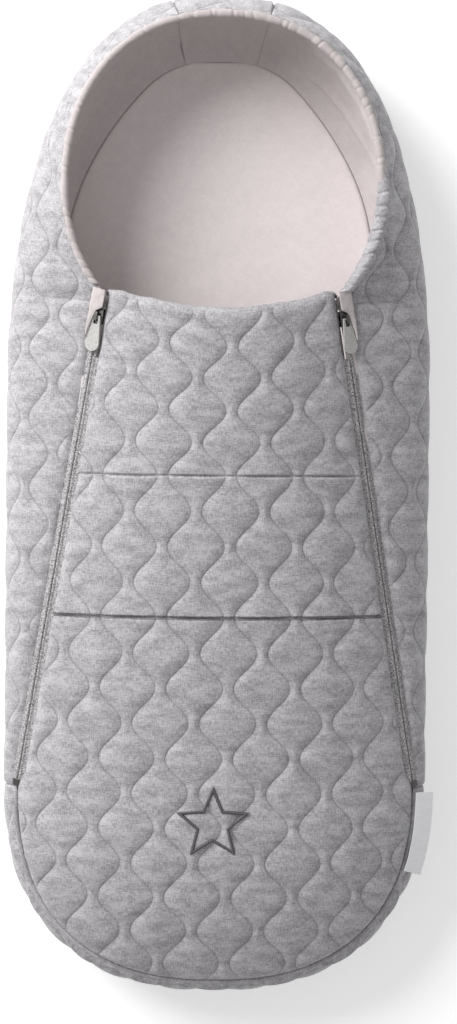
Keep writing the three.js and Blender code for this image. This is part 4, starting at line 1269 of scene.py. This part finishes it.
# ---- labels and the embroidered star ----
STAR = {"x": -3, "y": -254, "radius": 30, "inner": 0.45, "band": 2.4, "pitch": 0.55}


def star_corners(radius):
    turns = np.arange(10) * math.pi / 5 + math.pi / 2
    r = np.where(np.arange(10) % 2, radius * STAR["inner"], radius)
    return np.stack([STAR["x"] + r * np.cos(turns), STAR["y"] + r * np.sin(turns)], 1)


def build_star():
    """Satin stitch: threads laid side by side across the band of a five-pointed star."""
    outer = star_corners(STAR["radius"])
    inner = star_corners(STAR["radius"] - 2 * STAR["band"])
    rng = np.random.default_rng(19)
    threads = []
    for i in range(10):
        a, b = outer[i], outer[(i + 1) % 10]
        c, d = inner[i], inner[(i + 1) % 10]
        count = int(np.linalg.norm(b - a) / STAR["pitch"])
        for k in range(count):
            u = (k + 0.5) / count
            lean = min(1.0, u + 0.5 / count)
            ends = np.stack([lerp(a, b, u), lerp(c, d, lean)]) + rng.normal(0, 0.12, (2, 2))
            w = np.linspace(0, 1, 5)[:, None]
            plan = ends[0] * (1 - w) + ends[1] * w
            ground = cover_z(plan[:, 0], plan[:, 1]) + 2.3 + 0.75 * np.sin(math.pi * w[:, 0])
            threads.append(tube("thread", np.c_[plan, ground], 0.36, THREAD, 6))
    star = joined("star_stitching", threads)
    finish_piece(star, ["star_embroidery"], ride="bag")


def build_labels():
    side_label = refined("side_label", "side_tab", LABEL_TAPE, 0.25, 2)
    care_label = refined("care_label", "care_tab", LABEL_TAPE, 0.25, 2)
    for tab in (side_label, care_label):
        layers = tab.data.uv_layers
        layer = layers["fabric"] if "fabric" in layers else layers.new(name="fabric")
        for loop, uv in zip(tab.data.loops, layer.data):
            place = tab.data.vertices[loop.vertex_index].co
            uv.uv = (place.x + place.z, place.y)
    finish_piece(side_label, ["side_label"], ride="bag")
    finish_piece(care_label, ["care_label"], ride="bag")


# ---- stage and camera ----
FLOOR_HALF = 6000.0  # from the middle of the studio floor to its edge
FLOOR_GLOW = 0.32  # keeps the floor as pale as in the photo
WORLD_LIGHT = 0.46
KEY_LIGHT = {"place": (-1.55, 1.32, 1.35), "size": 1.7, "power": 73}  # metres and watts
CAMERA = {"place": (-63, 70, 2100), "aim": (10.3, -13.6, 0), "lens": 90.4, "roll": 0.6}  # mm and degrees


def build_stage():
    material, tree, shader = new_material("studio_floor")
    shader.inputs["Base Color"].default_value = (0.96, 0.96, 0.96, 1)
    shader.inputs["Emission Color"].default_value = (1, 1, 1, 1)
    shader.inputs["Emission Strength"].default_value = FLOOR_GLOW
    shader.inputs["Roughness"].default_value = 0.9
    place = node(tree, "ShaderNodeTexCoord").outputs["Object"]
    bump(tree, shader, [(noise_at(tree, place, 40, 2.0), 0.05, 0.5)])
    corners = np.array([[-1, -1, 0], [1, -1, 0], [1, 1, 0], [-1, 1, 0]]) * FLOOR_HALF
    floor = new_mesh("studio_floor", corners, [[0, 1, 2, 3]], [material])

    world = bpy.data.worlds.new("studio")
    bpy.context.scene.world = world
    world.use_nodes = True
    world.node_tree.nodes["Background"].inputs["Color"].default_value = (1, 1, 1, 1)
    world.node_tree.nodes["Background"].inputs["Strength"].default_value = WORLD_LIGHT
    add_light("key", **KEY_LIGHT)
    bpy.context.scene.view_settings.view_transform = "Standard"


def add_light(name, place, size, power):
    data = bpy.data.lights.new(name, "AREA")
    data.shape = "DISK"
    data.size = size
    data.energy = power
    light = bpy.data.objects.new(name, data)
    light.location = place
    light.rotation_mode = "QUATERNION"
    light.rotation_quaternion = (Vector((0, 0, 0.05)) - Vector(place)).to_track_quat("-Z", "Y")
    bpy.context.scene.collection.objects.link(light)


def build_camera():
    data = bpy.data.cameras.new("camera")
    data.sensor_width = 36
    data.lens = CAMERA["lens"]
    data.clip_end = 50
    camera = bpy.data.objects.new("camera", data)
    place = Vector(CAMERA["place"]) * MM
    back = (place - Vector(CAMERA["aim"]) * MM).normalized()
    roll = math.radians(CAMERA["roll"])
    right = Vector((-math.sin(roll), math.cos(roll), 0)).cross(back).normalized()
    turn = Matrix((right, back.cross(right), back)).transposed()
    camera.matrix_world = Matrix.Translation(place) @ turn.to_4x4()
    bpy.context.scene.collection.objects.link(camera)
    bpy.context.scene.camera = camera


build_camera()
build_stage()
build_cover()
build_walls()
build_lining()
build_base()
build_foot_seam()
build_rims()
build_zips()
build_hardware()
build_star()
build_labels()
